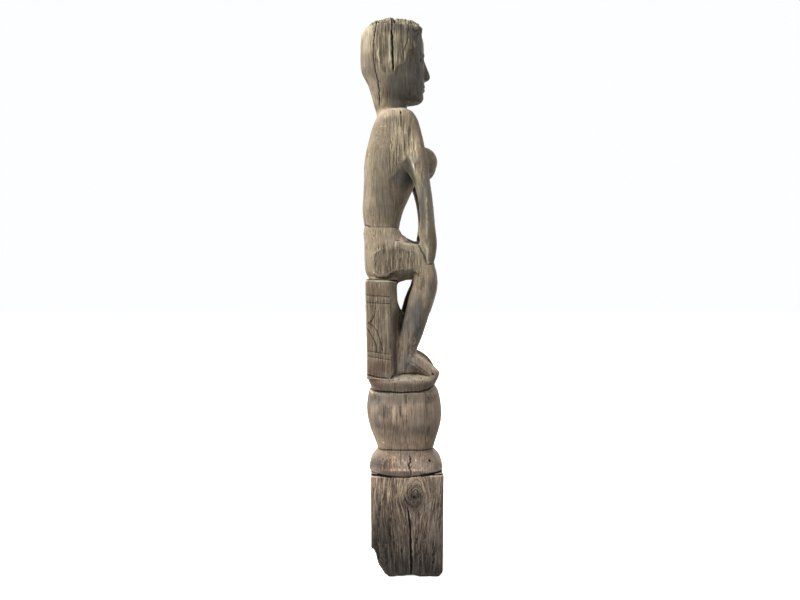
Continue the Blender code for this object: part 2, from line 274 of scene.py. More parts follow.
def noise(at, sizes, seed, layers=1):
    # from -1 to 1, and sizes are how long a change takes along each axis, in metres
    total, weight, whole = np.zeros(len(at)), 1.0, 0.0
    placed = at / np.array(sizes, float)
    for layer in range(layers):
        cell = np.floor(placed).astype(np.int64)
        inside = placed - cell
        inside = inside * inside * (3 - 2 * inside)
        value = np.zeros(len(at))
        for corner in np.ndindex(2, 2, 2):
            part = np.where(corner, inside, 1 - inside)
            value += part[:, 0] * part[:, 1] * part[:, 2] * lattice(cell + np.array(corner), seed + 31 * layer)
        total += weight * (value * 2 - 1)
        whole += weight
        weight *= 0.55
        placed = placed * 2.03 + 7.1
    return total / whole


def nearLine(flat, path):
    # how far each point is from a line of short straight runs, and how far along it that is, from 0 to 1
    path = np.array(path, float)
    runs = np.linalg.norm(np.diff(path, axis=0), axis=1)
    gap, along, done = np.full(len(flat), 9.0), np.zeros(len(flat)), 0.0
    for start, end, run in zip(path, path[1:], runs):
        way = (end - start) / run
        step = np.clip((flat - start) @ way, 0, run)
        away = np.linalg.norm(flat - start - step[:, None] * way, axis=1)
        nearer = away < gap
        gap[nearer] = away[nearer]
        along[nearer] = (done + step[nearer]) / runs.sum()
        done += run
    return gap, along


def facing(skin, plane):
    # how squarely each point faces that way, from -1 to 1; the far side's points count as turned away
    towards = np.array(planes[plane][2], float)
    sameSide = skin.at @ towards > -0.002 if plane in ("right", "left") else True
    return np.where(sameSide, skin.out @ towards, -1)


def stroke(skin, plane, path, width, depth, taper=0.3, wobble=0.0, halo=1.6, seed=5, **paints):
    # one cut of that half width and depth, in millimetres, along a path; a negative depth is a ridge
    path, (width, depth, wobble) = np.array(path, float), np.array((width, depth, wobble)) / 1000
    reach = width * max(1.0, halo) + wobble
    flat = skin.at[:, planes[plane][:2]]
    ahead = facing(skin, plane)
    near = (flat > path.min(0) - reach).all(1) & (flat < path.max(0) + reach).all(1) & (ahead > 0.05)
    near = np.nonzero(near)[0]
    if not len(near):
        return
    spot = flat[near]
    if wobble:
        spot = spot + wobble * noise(np.column_stack([spot, spot[:, :1]]), (9, 0.006, 9), seed)[:, None] * (1, 0)
    gap, along = nearLine(spot, path)
    ends = np.clip(np.minimum(along, 1 - along) / max(taper, 1e-6), 0, 1) ** 0.5 if taper else 1.0
    seen = ramp(ahead[near], 0.05, 0.35)
    sharpEnds = np.maximum(ends, 0.05)
    skin.push[near] -= depth * ramp(1 - gap / (width * sharpEnds), 0, 1) * ends * seen
    skin.stain(near, ramp(1 - gap / (width * halo * sharpEnds), 0, 0.7) * seen, paints)


def cracks(skin, plane, rows, taper=0.3, wobble=0.6):
    for path, width, depth, dark in rows:
        stroke(skin, plane, path, width, depth, taper, wobble, 1.0, crack=dark)


def bothSides(skin, path, width, depth, shift=(0.0, 0.0), **more):
    # the same cut on the right, and again on the left where the carver's hand put it slightly elsewhere
    stroke(skin, "right", path, width, depth, **more)
    stroke(skin, "left", np.array(path) + np.array(shift) / 1000, width, depth, **more)


def soften(skin, path, width, **paints):
    # a soft band of paint along a line on both sides, which lays the painted shadows
    for plane in ("right", "left"):
        gap, _ = nearLine(skin.at[:, planes[plane][:2]], path)
        skin.add(ramp(1 - gap / (width / 1000), 0, 0.8) * ramp(facing(skin, plane), -0.15, 0.15), paints)


def stroke3(skin, path, width, depth, **paints):
    # a cut along a path in space
    path, (width, depth) = np.array(path, float), (width / 1000, depth / 1000)
    near = np.nonzero(((skin.at > path.min(0) - 2 * width) & (skin.at < path.max(0) + 2 * width)).all(1))[0]
    part = np.clip(1 - nearLine(skin.at[near], path)[0] / width, 0, 1)
    skin.push[near] -= depth * ramp(part, 0, 1)
    skin.stain(near, part, paints)


def ring(skin, line, width, depth, part, wander, halo=1.1, **paints):
    # a cut that runs round the pole where part allows it; line gives its height from front to back
    line, (width, depth, wander) = np.array(sorted(line)), np.array((width, depth, wander)) / 1000
    middle = np.interp(skin.at[:, 1], *line.T)
    gap = np.abs(skin.at[:, 2] - middle - wander * noise(skin.at, (0.02, 0.02, 9), 3))
    part = np.clip(1 - gap / width, 0, 1) * ramp(1 - np.abs(skin.out[:, 2]), 0.05, 0.3) * part
    flat = skin.out[:, :2] / np.maximum(np.linalg.norm(skin.out[:, :2], axis=1), 0.2)[:, None]
    skin.at[:, :2] -= flat * (depth * ramp(part, 0, 1))[:, None]
    skin.stain(slice(None), ramp(1 - gap / (width * halo), 0, 0.7) * (part > 0), paints)


def swell(skin, centre, radii, height, **paints):
    # a rounded bump, or a hollow where the height is negative, in metres
    part = np.clip(1 - (((skin.at - centre) / radii) ** 2).sum(1), 0, 1) ** 2
    skin.push += height * part
    skin.add(part, paints)
    for name in paints:
        skin[name] = np.clip(skin[name], 0, 1)


def zone(skin, plane, outline, ragged=0.0, seed=1):
    # how deep inside an outline each point is, in metres; outside it is negative
    flat = skin.at[:, planes[plane][:2]]
    if ragged:
        lift = noise(skin.at, (0.0035, 0.0035, 9), seed) + 0.6 * noise(skin.at, (0.0016, 0.0016, 9), seed + 1)
        flat = flat + np.column_stack([np.zeros(len(flat)), ragged * lift])
    outline = np.array(list(outline) + [outline[0]], float)
    low, high = outline.min(0) - 0.02, outline.max(0) + 0.02
    near = np.nonzero(((flat > low) & (flat < high)).all(1) & (facing(skin, plane) > 0.0))[0]
    depth = np.full(len(flat), -9.0)
    spot = flat[near]
    gap, _ = nearLine(spot, outline)
    inside = np.zeros(len(near), bool)
    for (x0, y0), (x1, y1) in zip(outline, outline[1:]):
        if y0 != y1:
            crosses = ((y0 > spot[:, 1]) != (y1 > spot[:, 1])) & (
                spot[:, 0] < (x1 - x0) * (spot[:, 1] - y0) / (y1 - y0) + x0)
            inside ^= crosses
    depth[near] = np.where(inside, gap, -gap)
    return depth


def blot(skin, plane, centre, radii, ragged=0.35, **paints):
    # a soft patch of colour on one side
    flat = (skin.at[:, planes[plane][:2]] - centre) / radii
    away = np.hypot(*flat.T) + ragged * skin.mottle
    skin.add(ramp(1.25 - away, 0, 0.9) * ramp(facing(skin, plane), 0.0, 0.4), paints)


def relax(skin, part, passes):
    # evens out the skin where part is above nothing, which fills a crease and rounds a ridge
    inside = part > 0.001
    first, second = skin.edges.T
    used = inside[first] | inside[second]
    first, second = first[used], second[used]
    members = np.unique(np.concatenate([first, second]))
    place = np.full(len(part), -1)
    place[members] = np.arange(len(members))
    first, second = place[first], place[second]
    moved, weight = skin.at[members].copy(), part[members]
    touching = np.maximum(np.bincount(np.concatenate([first, second]), minlength=len(members)), 1)
    for _ in range(passes):
        for axis in range(3):
            near = np.bincount(first, moved[second, axis], len(members))
            near += np.bincount(second, moved[first, axis], len(members))
            moved[:, axis] += 0.6 * weight * (near / touching - moved[:, axis])
    skin.at[members] = moved


def flatten(skin, plane, outline, level, edge=0.003, strength=1.0):
    # pares one side to a flat at that distance from the middle
    part = ramp(zone(skin, plane, outline), 0, edge) * strength
    side = -1 if plane == "right" else 1
    skin.at[:, 0] += part * (side * level - skin.at[:, 0])


def squareUp(skin, middle, stations, weight=1.0):
    # turns round cross-sections squarer: each station is a height, how square it is, and how square it should be
    at = skin.at
    heights, before, after = np.array(stations).T
    inside = (at[:, 2] > heights[0]) & (at[:, 2] < heights[-1])
    old = np.interp(at[inside, 2], heights, before)
    new = np.interp(at[inside, 2], heights, after)
    x, y = np.abs(at[inside, 0]) + 1e-6, np.abs(at[inside, 1] - middle) + 1e-6
    ratio = (x**old + y**old) ** (1 / old) / (x**new + y**new) ** (1 / new)
    ratio = 1 + (ratio - 1) * np.broadcast_to(weight, len(at))[inside]
    at[inside, 0] *= ratio
    at[inside, 1] = middle + (at[inside, 1] - middle) * ratio


# the broad forms, cut again where the block is too round

forms = {
    "potMiddle": -0.0102,
    "potSquareness": [(0.208, 3.0, 3.4), (0.22, 3.0, 4.4), (0.248, 3.0, 4.6), (0.256, 2.8, 4.0), (0.27, 2.6, 4.2),
                      (0.31, 2.6, 3.4), (0.35, 2.6, 3.4), (0.376, 2.6, 3.4), (0.384, 2.5, 2.6)],
    "restMiddle": -0.0027,
    "restSquareness": [(0.385, 2.6, 2.6), (0.393, 2.7, 3.2), (0.406, 3.4, 4.2), (0.413, 3.4, 4.0),
                       (0.417, 3.0, 3.0)],
    "shoulderPasses": 260 if fine else 100,
    "shoulder": mm(43, 950, 40, 870, 30, 840, 17.2, 838, 1.5, 858, -10.6, 873, -22, 895, -15, 940, 5, 962, 28, 965),
    "thigh": mm(62, 635, 64, 660, 60, 682, 45, 691, 13.3, 689, -18.3, 683, -39.4, 672, -54, 652, -64, 620, -42,
                612, -34.5, 632, -18.3, 643, 2.8, 642, 20, 634, 30, 625, 50, 626),
    "thighLevel": 0.0655,
    "shin": mm(10.5, 423, 9, 460, 5, 500, 0, 530, -8, 550, -26, 545, -23, 505, -18, 475, -14, 455, -12, 423),
    "shinLevel": 0.06,
    "leftShinShift": 0.0055,
    "archDepth": 0.0034,
    "arch": mm(2, 418, -8, 444, -15, 450.5, -29.6, 442.2, -47.3, 428.5, -63, 417.5, -56, 415),
    "underThighDepth": 0.0018,
    "underThigh": mm(27, 634.5, 2.8, 643.2, -18.3, 644.3, -34, 635, -18.7, 625.1, 10, 621.5),
    "instep": mm(-24, 464, -33.2, 462.2, -47.3, 451.5, -63.1, 439, -79, 425.5),
    "swellings": [  # centre, radii and height, in millimetres
        (0, -40, 1166, 75, 22, 24, 4.8), (0, -44, 1150, 60, 16, 12, -1.2), (-30, 53.5, 1172, 30, 8, 14, 4),
        (0, -38, 950, 90, 22, 35, -2.6), (0, -12, 714, 90, 24, 22, -2.6), (0, 10, 602, 60, 10, 22, -1.8),
        (0, -16, 623, 80, 16, 10, 1.8), (0, -8.5, 713, 90, 16, 14, 5.2), (0, -32, 710, 90, 16, 14, -4.8),
        (-55, -24, 705, 32, 24, 14, -3.4), (-45, -37, 712, 20, 9, 20, -3), (45, -37, 712, 20, 9, 26, 3),
    ],
    "slope": mm(256, 60.4, 253, 60.6, 226.2, 76, 223.5, 79),
    "brokenEdge": mm(0, 25, 5.8, 33, 25.3, 47, 38.4, 50.5, 56, 53, 57.8, 56, 59.2, 62.5),
    "brokenTo": 0.064,
    "brokenTop": 0.066,
    "breakFaces": (-0.187, 0.873, -0.453),
    "cornerLoss": 0.012,
    "wornRim": 0.005,
}


def cutForms(skin, piece):
    at = skin.at
    x, y, z = at.T
    groove = np.array(sorted(lowerPole["collarGroove"]))
    aboveGroove = ramp(z - np.interp(y, *groove.T), 0.001, 0.006)
    squareUp(skin, forms["potMiddle"], forms["potSquareness"], aboveGroove)
    squareUp(skin, forms["restMiddle"], forms["restSquareness"])
    refreshNormals(skin, piece)
    for plane in ("right", "left"):
        relax(skin, ramp(zone(skin, plane, forms["shoulder"]), 0.0, 0.006), forms["shoulderPasses"])
        flatten(skin, plane, forms["thigh"], forms["thighLevel"], 0.005)
        shinPath = np.array(forms["shin"]) + (forms["leftShinShift"] * (plane == "left"), 0)
        flatten(skin, plane, shinPath, forms["shinLevel"] - 0.0015, 0.009, 0.8)
    # the collar slopes outward below the pot, flat on its two broad faces
    limit = np.interp(z, *np.array(forms["slope"])[::-1].T)
    capped = (z > 0.2236) & (z < 0.256)
    x[:] = np.where(capped, np.sign(x) * np.minimum(np.abs(x), limit), x)
    breakFoot(skin)
    refreshNormals(skin, piece)
    for plane, side in (("right", -1), ("left", 1)):
        back = feet["leftBack"] if side > 0 else 0.0
        # the arch of each foot is hollowed and darkened with painted shade
        arch = zone(skin, plane, np.array(forms["arch"]) + (back, 0))
        fade = ramp(0.006 - y, 0, 0.018)
        x -= side * forms["archDepth"] * ramp(arch, 0, 0.006) * fade
        skin.atLeast(shade=0.3 * ramp(arch, 0.0005, 0.008) * fade)
        under = zone(skin, plane, forms["underThigh"])
        x -= side * forms["underThighDepth"] * ramp(under, 0, 0.004)
        skin.tone += 0.12 * ramp(under, -0.0008, 0.0016)
        skin.warm -= 0.4 * ramp(under, -0.0008, 0.0016)
    # a raised ridge along each instep, painted paler as a highlight
    stroke(skin, "right", forms["instep"], 4, -1.2, taper=0.15, bleach=0.35)
    stroke(skin, "left", np.array(forms["instep"]) + (0.01, 0.006), 4, -1, taper=0.15, bleach=0.3)
    for row in forms["swellings"]:
        swell(skin, *mm(*row[:6], group=3), row[6] / 1000)
    skin.push = np.where(z > 0.3, skin.push, 0)
    settle(skin)
    heights, limits = np.array(hair["front"]).T
    y[:] = np.where(z > heights[0], np.maximum(y, np.interp(z, heights, limits)), y)
    refreshNormals(skin, piece)


def breakFoot(skin):
    # what has broken off the back of the post's foot, a rounded front corner and a worn, wavy edge to stand on
    at, out = skin.at, skin.out
    x, y, z = at.T
    edge = np.array(forms["brokenEdge"])
    ragged = 0.0012 * noise(at, (0.01, 0.006, 0.009), 131, 2)
    limit = np.interp(z, edge[:, 0], edge[:, 1]) + 0.11 * (x + 0.08) + ragged
    facingBreak = ramp(out @ np.array(forms["breakFaces"]), 0.8, 0.93) * (z < forms["brokenTop"])
    nearSide = ramp(0.03 - x, 0, 0.04)
    moved = np.where((z < edge[-1, 0]) & (y > limit), 1.0, facingBreak) * nearSide
    skin.atLeast(rough=spread(skin, moved, 4))
    y += moved * (np.minimum(limit, forms["brokenTo"]) - y)
    low = np.clip(1 - z / 0.013, 0, 1)
    y[:] = np.maximum(y, y.min() + forms["cornerLoss"] * low**2.5)
    rim = ramp(np.maximum(np.abs(x), np.abs(y + 0.01)), 0.06, 0.076)
    wave = np.clip(noise(at, (0.02, 0.02, 9), 133, 2) + 0.15, 0, 1)
    z += forms["wornRim"] * wave * rim * np.clip(1 - z / 0.012, 0, 1)


# the head: hair, crown and a plain face

hair = {
    "edge": mm(47.6, 1066.8, 37.3, 1065, 21.1, 1066, 13.9, 1068.7, 3.3, 1079.3, -3.3, 1080, -8.6, 1087.3, -12.5,
               1103.1, -16.5, 1113, -28.4, 1117),
    "backEdge": mm(53, 1178, 57.4, 1142.7, 60, 1125.6, 59.6, 1096, 57.5, 1080),
    "cheek": mm(13.9, 1068.7, 27, 1059, 39, 1046, 40, 1025, 37, 995, -74, 975, -74, 1164, -40, 1164, -34.5, 1130,
                -28.4, 1117, -16.5, 1113, -12.5, 1103.1, -8.6, 1087.3, -3.3, 1080, 3.3, 1079.3),
    "hairline": 1.16,
    "front": mm(1138, -56, 1150, -45.5, 1162, -42.5, 1170, -42.5),
    "standsProud": 0.0014,
    "ragged": 0.002,
    # how much painted shade darkens the face and the cheeks, and its paint
    "faceShare": 0.78,
    "facePaint": {"tone": -1.08, "warm": -0.42},
    "flutes": [  # centre line, half width, depth, dark of the painted shade in the flute
        (mm(41, 1158, 42.8, 1132, 42.8, 1111, 37.7, 1066.1), 4.8, 1.8, 0.42),
        (mm(53.5, 1160, 55.5, 1120, 54.5, 1083), 2.4, 0.8, 0.3), (mm(32, 1162, 31.8, 1125), 3.6, 0.9, 0.35),
        (mm(-1.3, 1170, -1.3, 1145, -1.8, 1125), 5.6, 1.4, 0.48), (mm(-19.5, 1168, -19.2, 1114), 2, 0.8, 0.4),
        (mm(-24.8, 1166, -24, 1116), 2, 0.8, 0.4), (mm(-31, 1166, -29, 1122), 2.2, 0.8, 0.3),
    ],
    "ridges": [  # centre line, half width, height, bleach as a painted highlight
        (mm(26.2, 1144, 25, 1132, 23.6, 1100, 22.5, 1066.5), 4, 1.4, 0.34), (mm(34, 1134, 33, 1105), 3, 0.8, 0.25),
        (mm(48, 1116, 48.5, 1100, 44.5, 1087.3), 4, 1.4, 0.38),
        (mm(10, 1148, 9.5, 1120, 8.5, 1073.5), 5.8, 1.4, 0.3),
        (mm(-8.5, 1136, -8.2, 1110, -8.2, 1086.5), 2.2, 1, 0.4), (mm(-16.8, 1140, -16.6, 1112), 1.7, 0.7, 0.45),
        (mm(-22.1, 1140, -21.9, 1113), 1.7, 0.7, 0.45), (mm(-27.6, 1140, -26.8, 1114), 1.7, 0.7, 0.4),
    ],
}


crown = {
    "from": 1.166,
    "splinter": (0.0062, 0.0042),
    "rise": 0.0042,
    "peakAt": 0.0235,
    "peakHalf": 0.0065,
    "peakRise": 0.0022,
    "capDepth": 0.0016,
    "notches": [  # from the right to the left side, half width, depth
        (mm(-46, 15.5, -20, 13.5, 6, 12.5, 44, 10), 0.0034, 0.0042),
        (mm(-42, 49, -10, 52, 20, 56, 40, 58), 0.0018, 0.0026),
        (mm(-36, -13, -4, -11, 20, -16), 0.0022, 0.0026),
        (mm(10, 48, 6, 20, 0, -12), 0.0022, 0.0026),
    ],
}


def crownHeights(at, seed=11):
    # broken fibre ends: each cell of the end grain stands at its own height
    places = at[:, :2] / np.array(crown["splinter"])
    home = np.floor(places).astype(np.int64)
    nearest, height = np.full(len(at), 9.0), np.zeros(len(at))
    for dx in (-1, 0, 1):
        for dy in (-1, 0, 1):
            cell = np.column_stack([home + (dx, dy), np.zeros(len(at), np.int64)])
            centre = cell[:, :2] + 0.5 + 0.42 * np.column_stack(
                [lattice(cell, seed) * 2 - 1, lattice(cell, seed + 1) * 2 - 1])
            away = np.hypot(*(places - centre).T)
            nearer = away < nearest
            nearest[nearer] = away[nearer]
            height[nearer] = lattice(cell, seed + 2)[nearer]
    return height * 2 - 1


def carveHead(skin):
    at, out = skin.at, skin.out
    _, y, z = at.T
    # the hair stands a little proud of the cheek and the nape, with a ragged lower edge
    outline = hair["edge"] + [(-0.0345, 1.13), (-0.0385, hair["hairline"]), (-0.07, hair["hairline"]),
                              (-0.07, 1.205), (0.054, 1.205)] + hair["backEdge"]
    # the face below the hairline and the cheeks under the hair are darkened with painted shade
    front = ramp(-out[:, 1], 0.1, 0.65) * ramp(hair["hairline"] - z, -0.002, 0.004) * (y < 0.0)
    dark = hair["faceShare"] * front * ramp(z, 0.958, 0.98)
    for plane, seed in (("right", 21), ("left", 27)):
        deep = zone(skin, plane, outline, hair["ragged"], seed)
        inside = ramp(deep, -0.0006, 0.0008)
        runOut = 1 - ramp(y, 0.012, 0.02) * ramp(-z, -1.11, -1.066)
        skin.push += hair["standsProud"] * inside * runOut * (z < 1.17)
        skin.atLeast(rough=0.5 * inside)
        # painted shade under the ragged lower edge of the hair
        low = (z < 1.125) & (z > 1.05) & (y < 0.016)
        under = ramp(deep, -0.005, -0.0004) * ramp(-deep, -0.0002, 0.0006) * low
        skin.atLeast(shade=0.4 * under)
        cheek = ramp(zone(skin, plane, hair["cheek"]), -0.0014, 0.005)
        cheek *= ramp(facing(skin, plane), 0.1, 0.6)
        cheek *= ramp(0.044 + 0.006 * skin.mottle - y, 0, 0.026)
        dark = np.maximum(dark, cheek)
    skin.add(dark, hair["facePaint"])
    fringe = ramp(z, hair["hairline"] - 0.0008, hair["hairline"] + 0.0006)
    ahead = ramp(-out[:, 1], 0.2, 0.5) * (y < -0.01)
    skin.push += hair["standsProud"] * fringe * ahead * (z < 1.172)
    skin.atLeast(rough=0.8 * fringe * ahead)
    for path, width, depth, dark in hair["flutes"]:
        bothSides(skin, path, width, depth, shift=(1.2, 0), taper=0.2, wobble=0.6, shade=dark)
    for path, width, height, pale in hair["ridges"]:
        bothSides(skin, path, width, -height, shift=(-1, 1), taper=0.25, wobble=0.6, bleach=pale)


def carveCrown(skin):
    at = skin.at
    _, y, z = at.T
    top = ramp(z, crown["from"], crown["from"] + 0.012) * ramp(skin.out[:, 2], 0.1, 0.5)
    heights = 0.65 * crownHeights(at) + 0.35 * crownHeights(at * 1.7 + 0.3, 17)
    peak = np.exp(-((y - crown["peakAt"]) / crown["peakHalf"]) ** 2)
    lift = crown["rise"] * heights * 0.55 + crown["peakRise"] * peak - 0.0009
    z += lift * top
    cap = ramp(z, 1.145, 1.16) * ramp(-y, 0.026, 0.036)
    y -= crown["capDepth"] * cap * noise(at, (0.007, 0.007, 0.0045), 19, 2)
    for path, width, depth in crown["notches"]:
        gap, _ = nearLine(at[:, :2] + 0.0015 * noise(at, (0.012, 0.012, 9), 5)[:, None], path)
        part = np.clip(1 - gap / width, 0, 1)
        z -= depth * ramp(part, 0, 0.7) * top
        skin.atLeast(crack=0.85 * ramp(part, 0.25, 0.9) * (top > 0.3))
    # the crown is darkened most among its lowest fibre ends, as painted shade
    skin.shade = np.clip(skin.shade + top * (0.3 - 0.35 * heights), 0, 1)
    skin.atLeast(rough=top)


face = {  # heights are the thirds of a plain carved head
    "chin": 1.012,
    "third": 0.05,
    "eyeHeight": 1.099,
    "eyeApart": 0.0212,
    "surface": -0.049,
}


def carveFace(skin):
    third, eye, front = face["third"], face["eyeHeight"], face["surface"]
    base = face["chin"] + third
    brow, mouth = base + third, base - third * 0.34

    def line(middle, points, width, depth, side=1, **more):  # points are given from that middle
        path = [(middle[0] + side * across, middle[1] + up) for across, up in mm(*points)]
        stroke(skin, "front", path, width, depth, **more)

    # the eyes, the nostrils and the lips are cut, with painted shade in their lines and hollows
    for side in (-1, 1):
        mid = side * face["eyeApart"]
        corner = (mid, eye)
        swell(skin, (mid, front, eye + 0.0015), (0.0175, 0.022, 0.0125), -0.0046)
        swell(skin, (mid, front, eye - 0.0005), (0.0132, 0.022, 0.0078), 0.004)
        line((0, brow), (6, -1, 14, 2.5, 24, 2.8, 35, -3), 5, -1.9, side)
        line(corner, (-10.8, -1, -6, 3.6, 0, 5.2, 6.5, 3.4, 11.2, -1.2), 2.1, 1, side, taper=0.15, shade=0.55)
        line(corner, (-10.8, -1.2, -5.5, -5.2, 0, -6.4, 6, -5, 11.2, -1.2), 1.9, 0.7, side, taper=0.15, shade=0.4)
        line(corner, (-10.6, -1.2, 0, -2.8, 11, -1.2), 1.7, 1.2, side, taper=0.1, shade=0.7, crack=0.25)
        swell(skin, (side * 0.0088, front - 0.008, base + 0.004), (0.0058, 0.012, 0.0062), 0.0013)
        swell(skin, (side * 0.0048, front - 0.012, base - 0.001), (0.0032, 0.008, 0.0032), -0.0016, shade=0.6)
        swell(skin, (side * 0.033, front + 0.012, base + 0.016), (0.017, 0.026, 0.017), 0.0016, bleach=0.1)
        swell(skin, (side * 0.027, front + 0.004, mouth + 0.002), (0.012, 0.02, 0.016), -0.0014)
    lips = (0, mouth)
    line(lips, (-17.2, 0.2, -7, 4, 0, 3, 7, 4, 17.2, 0.2), 4.4, -2.1)
    line(lips, (-14, -2.4, 0, -5.4, 14, -2.4), 4.8, -2.4, taper=0.35)
    line(lips, (-18.5, 0.6, -8, -0.2, 0, -1, 8, -0.2, 18.5, 0.6), 1.7, 2, taper=0.15, shade=0.75, crack=0.3)
    stroke(skin, "front", [(0, base - 0.003), (0, mouth + 0.006)], 2.8, 0.7)
    line(lips, (-11, -12, 11, -12), 4.6, 1.4, taper=0.4)
    swell(skin, (0, front + 0.003, face["chin"] + 0.0095), (0.018, 0.022, 0.012), 0.0024)


headCracks = {  # path, half width, depth, crack
    "right": [
        (mm(50.5, 1183, 53, 1174.9, 57.4, 1142.7, 60, 1125.6, 59.6, 1096, 57.5, 1080, 52.9, 1059.8, 49, 1043.3,
            47.3, 1019.7, 47.4, 996), 1.6, 3, 0.9),
        (mm(52, 1179, 54.5, 1166), 2.6, 2.2, 0.65),
        (mm(20.6, 1186, 20.5, 1170, 19.6, 1140), 1.8, 3, 0.7),
        (mm(20, 1156, 18.9, 1120.3, 17.6, 1085, 16.3, 1065.5), 2.6, 5, 1.0),
        (mm(-16.4, 1180, -16, 1164, -13.6, 1130, -6.4, 1112.5, -4.2, 1081.5), 1.4, 1.8, 0.62),
        (mm(13.3, 1128, 12, 1124, 13.3, 1119.5), 1, 0.8, 0.4),
    ],
    "left": [
        (mm(42, 1180, 45, 1130, 43, 1070, 40, 1030), 1.8, 3, 0.9),
        (mm(8, 1180, 10, 1120, 8, 1085), 2, 3, 0.9),
    ],
}


def crackHead(skin):
    for plane, rows in headCracks.items():
        cracks(skin, plane, rows, 0.08, 0.8)


# the body

body = {
    "hollowPasses": 120 if fine else 50,
    "openGrain": mm(32, 960, 31.2, 935.7, 30.1, 896.4, 28.9, 846.9, 27.1, 842, 21.2, 840.5, 12.4, 847.5, -3.5,
                    868.8, -15, 883.5, -22.9, 865, -30, 852, -44, 830, -50, 850, -33, 900, -20, 940, 0, 965),
    "hollow": mm(26.2, 830, 21.2, 840.3, 12.4, 847.3, -3.5, 868.5, -15, 886, -21.5, 868, -26.2, 850, -31, 833, -37,
                 808, -20, 800, 6, 812),
    "armRidge": mm(-12, 890, -24.3, 861.5, -34.7, 846.8, -41.8, 829.1, -52, 803.1, -54, 751.7, -53.8, 705.7),
    "handCrease": mm(-33, 701, -38, 693, -41.9, 684.4, -47.5, 675.9, -51, 666, -54.1, 656),
    "wedge": mm(-50, 703, -49.2, 696, -55.6, 685, -58, 656),
    "hollowDepth": 0.0009,
    "thighDepth": 0.0003,
    "insideDarker": 1.3,
    "spine": mm(0, 955, 0, 860, 0, 755),
    "navel": (0, -0.003, 0.766),
    "thighsMeet": mm(0, 12, 0, -50),
    "handMiddle": 0.053,
    "fingerSpacing": 0.0066,
    "waist": mm(90, 741.5, 77.6, 741.3, 61.9, 736.3, 35.1, 735.3, 10.4, 736.1, -10, 736.3),
    "thighFlat": mm(60, 638, 65, 664.3, 63.3, 673.1, 58, 683.6, 47.5, 694.2, 33.4, 697.5, 13.3, 693, -18.3, 686,
                    -39.4, 674, -44, 650, -56, 600, -30, 600, -33.1, 635, -18.3, 644.3, 2.8, 643.2, 23.9, 633),
    "underThigh": mm(33.4, 631, 21.1, 634.4, 2.8, 643.2, -18.3, 644.3, -33.1, 635),
    "paintedShadows": [  # painted shadows: path, half width, stops
        (mm(-13, 870, -17.5, 850, -24, 830, -29, 810, -35, 785), 9, -0.5),
        (mm(70, 375, 73, 340, 70, 305), 12, -0.65),
        (mm(35, 630, 0, 639, -30, 638), 6, -0.25),
    ],
    "dents": [  # short cracks and nicks on the right: path, half width, depth, crack
        (mm(2.5, 980, 1.5, 961.9, 0.8, 948, -0.3, 937.1), 1.3, 2, 0.8), (mm(74, 740, 64, 734.5), 1.8, 1.4, 0.6),
        (mm(1, 976.5, 1.6, 970), 2.6, 2, 0.7), (mm(16.5, 705.6, 0.7, 706.4), 1.2, 1.2, 0.65),
        (mm(16.5, 705.6, 14.1, 692.4), 1.2, 1.2, 0.65), (mm(-54.1, 654.9, -67.2, 656.3), 2, 1.6, 0.6),
        (mm(63.5, 897.3, 62.8, 850, 63.2, 790), 1, 0.8, 0.45), (mm(58.2, 880, 58, 835, 58.6, 790), 1, 0.7, 0.35),
        (mm(-43.9, 615.1, -47, 585), 1.1, 1, 0.45), (mm(48, 703, 47.5, 678), 1, 0.8, 0.45),
        (mm(-1.4, 710.5, -13, 704, -32.9, 699), 2.2, 1, 0.45), (mm(53.6, 616.9, 49.2, 604.6), 1.2, 1, 0.6),
    ],
    "scuffs": [  # pale scrapes on the right: path, half width, bleach
        (mm(52.9, 945.5, 24.7, 945), 1.4, 0.45), (mm(51.2, 904, 37, 904.5), 1.2, 0.5),
        (mm(76, 893, 64, 892.5), 1.2, 0.45), (mm(49.2, 604.6, 38.7, 619), 1.4, 0.5),
        (mm(58, 620.5, 27, 620), 1.6, 0.45), (mm(1, 700, -18, 697.5), 2.2, 0.45),
    ],
}


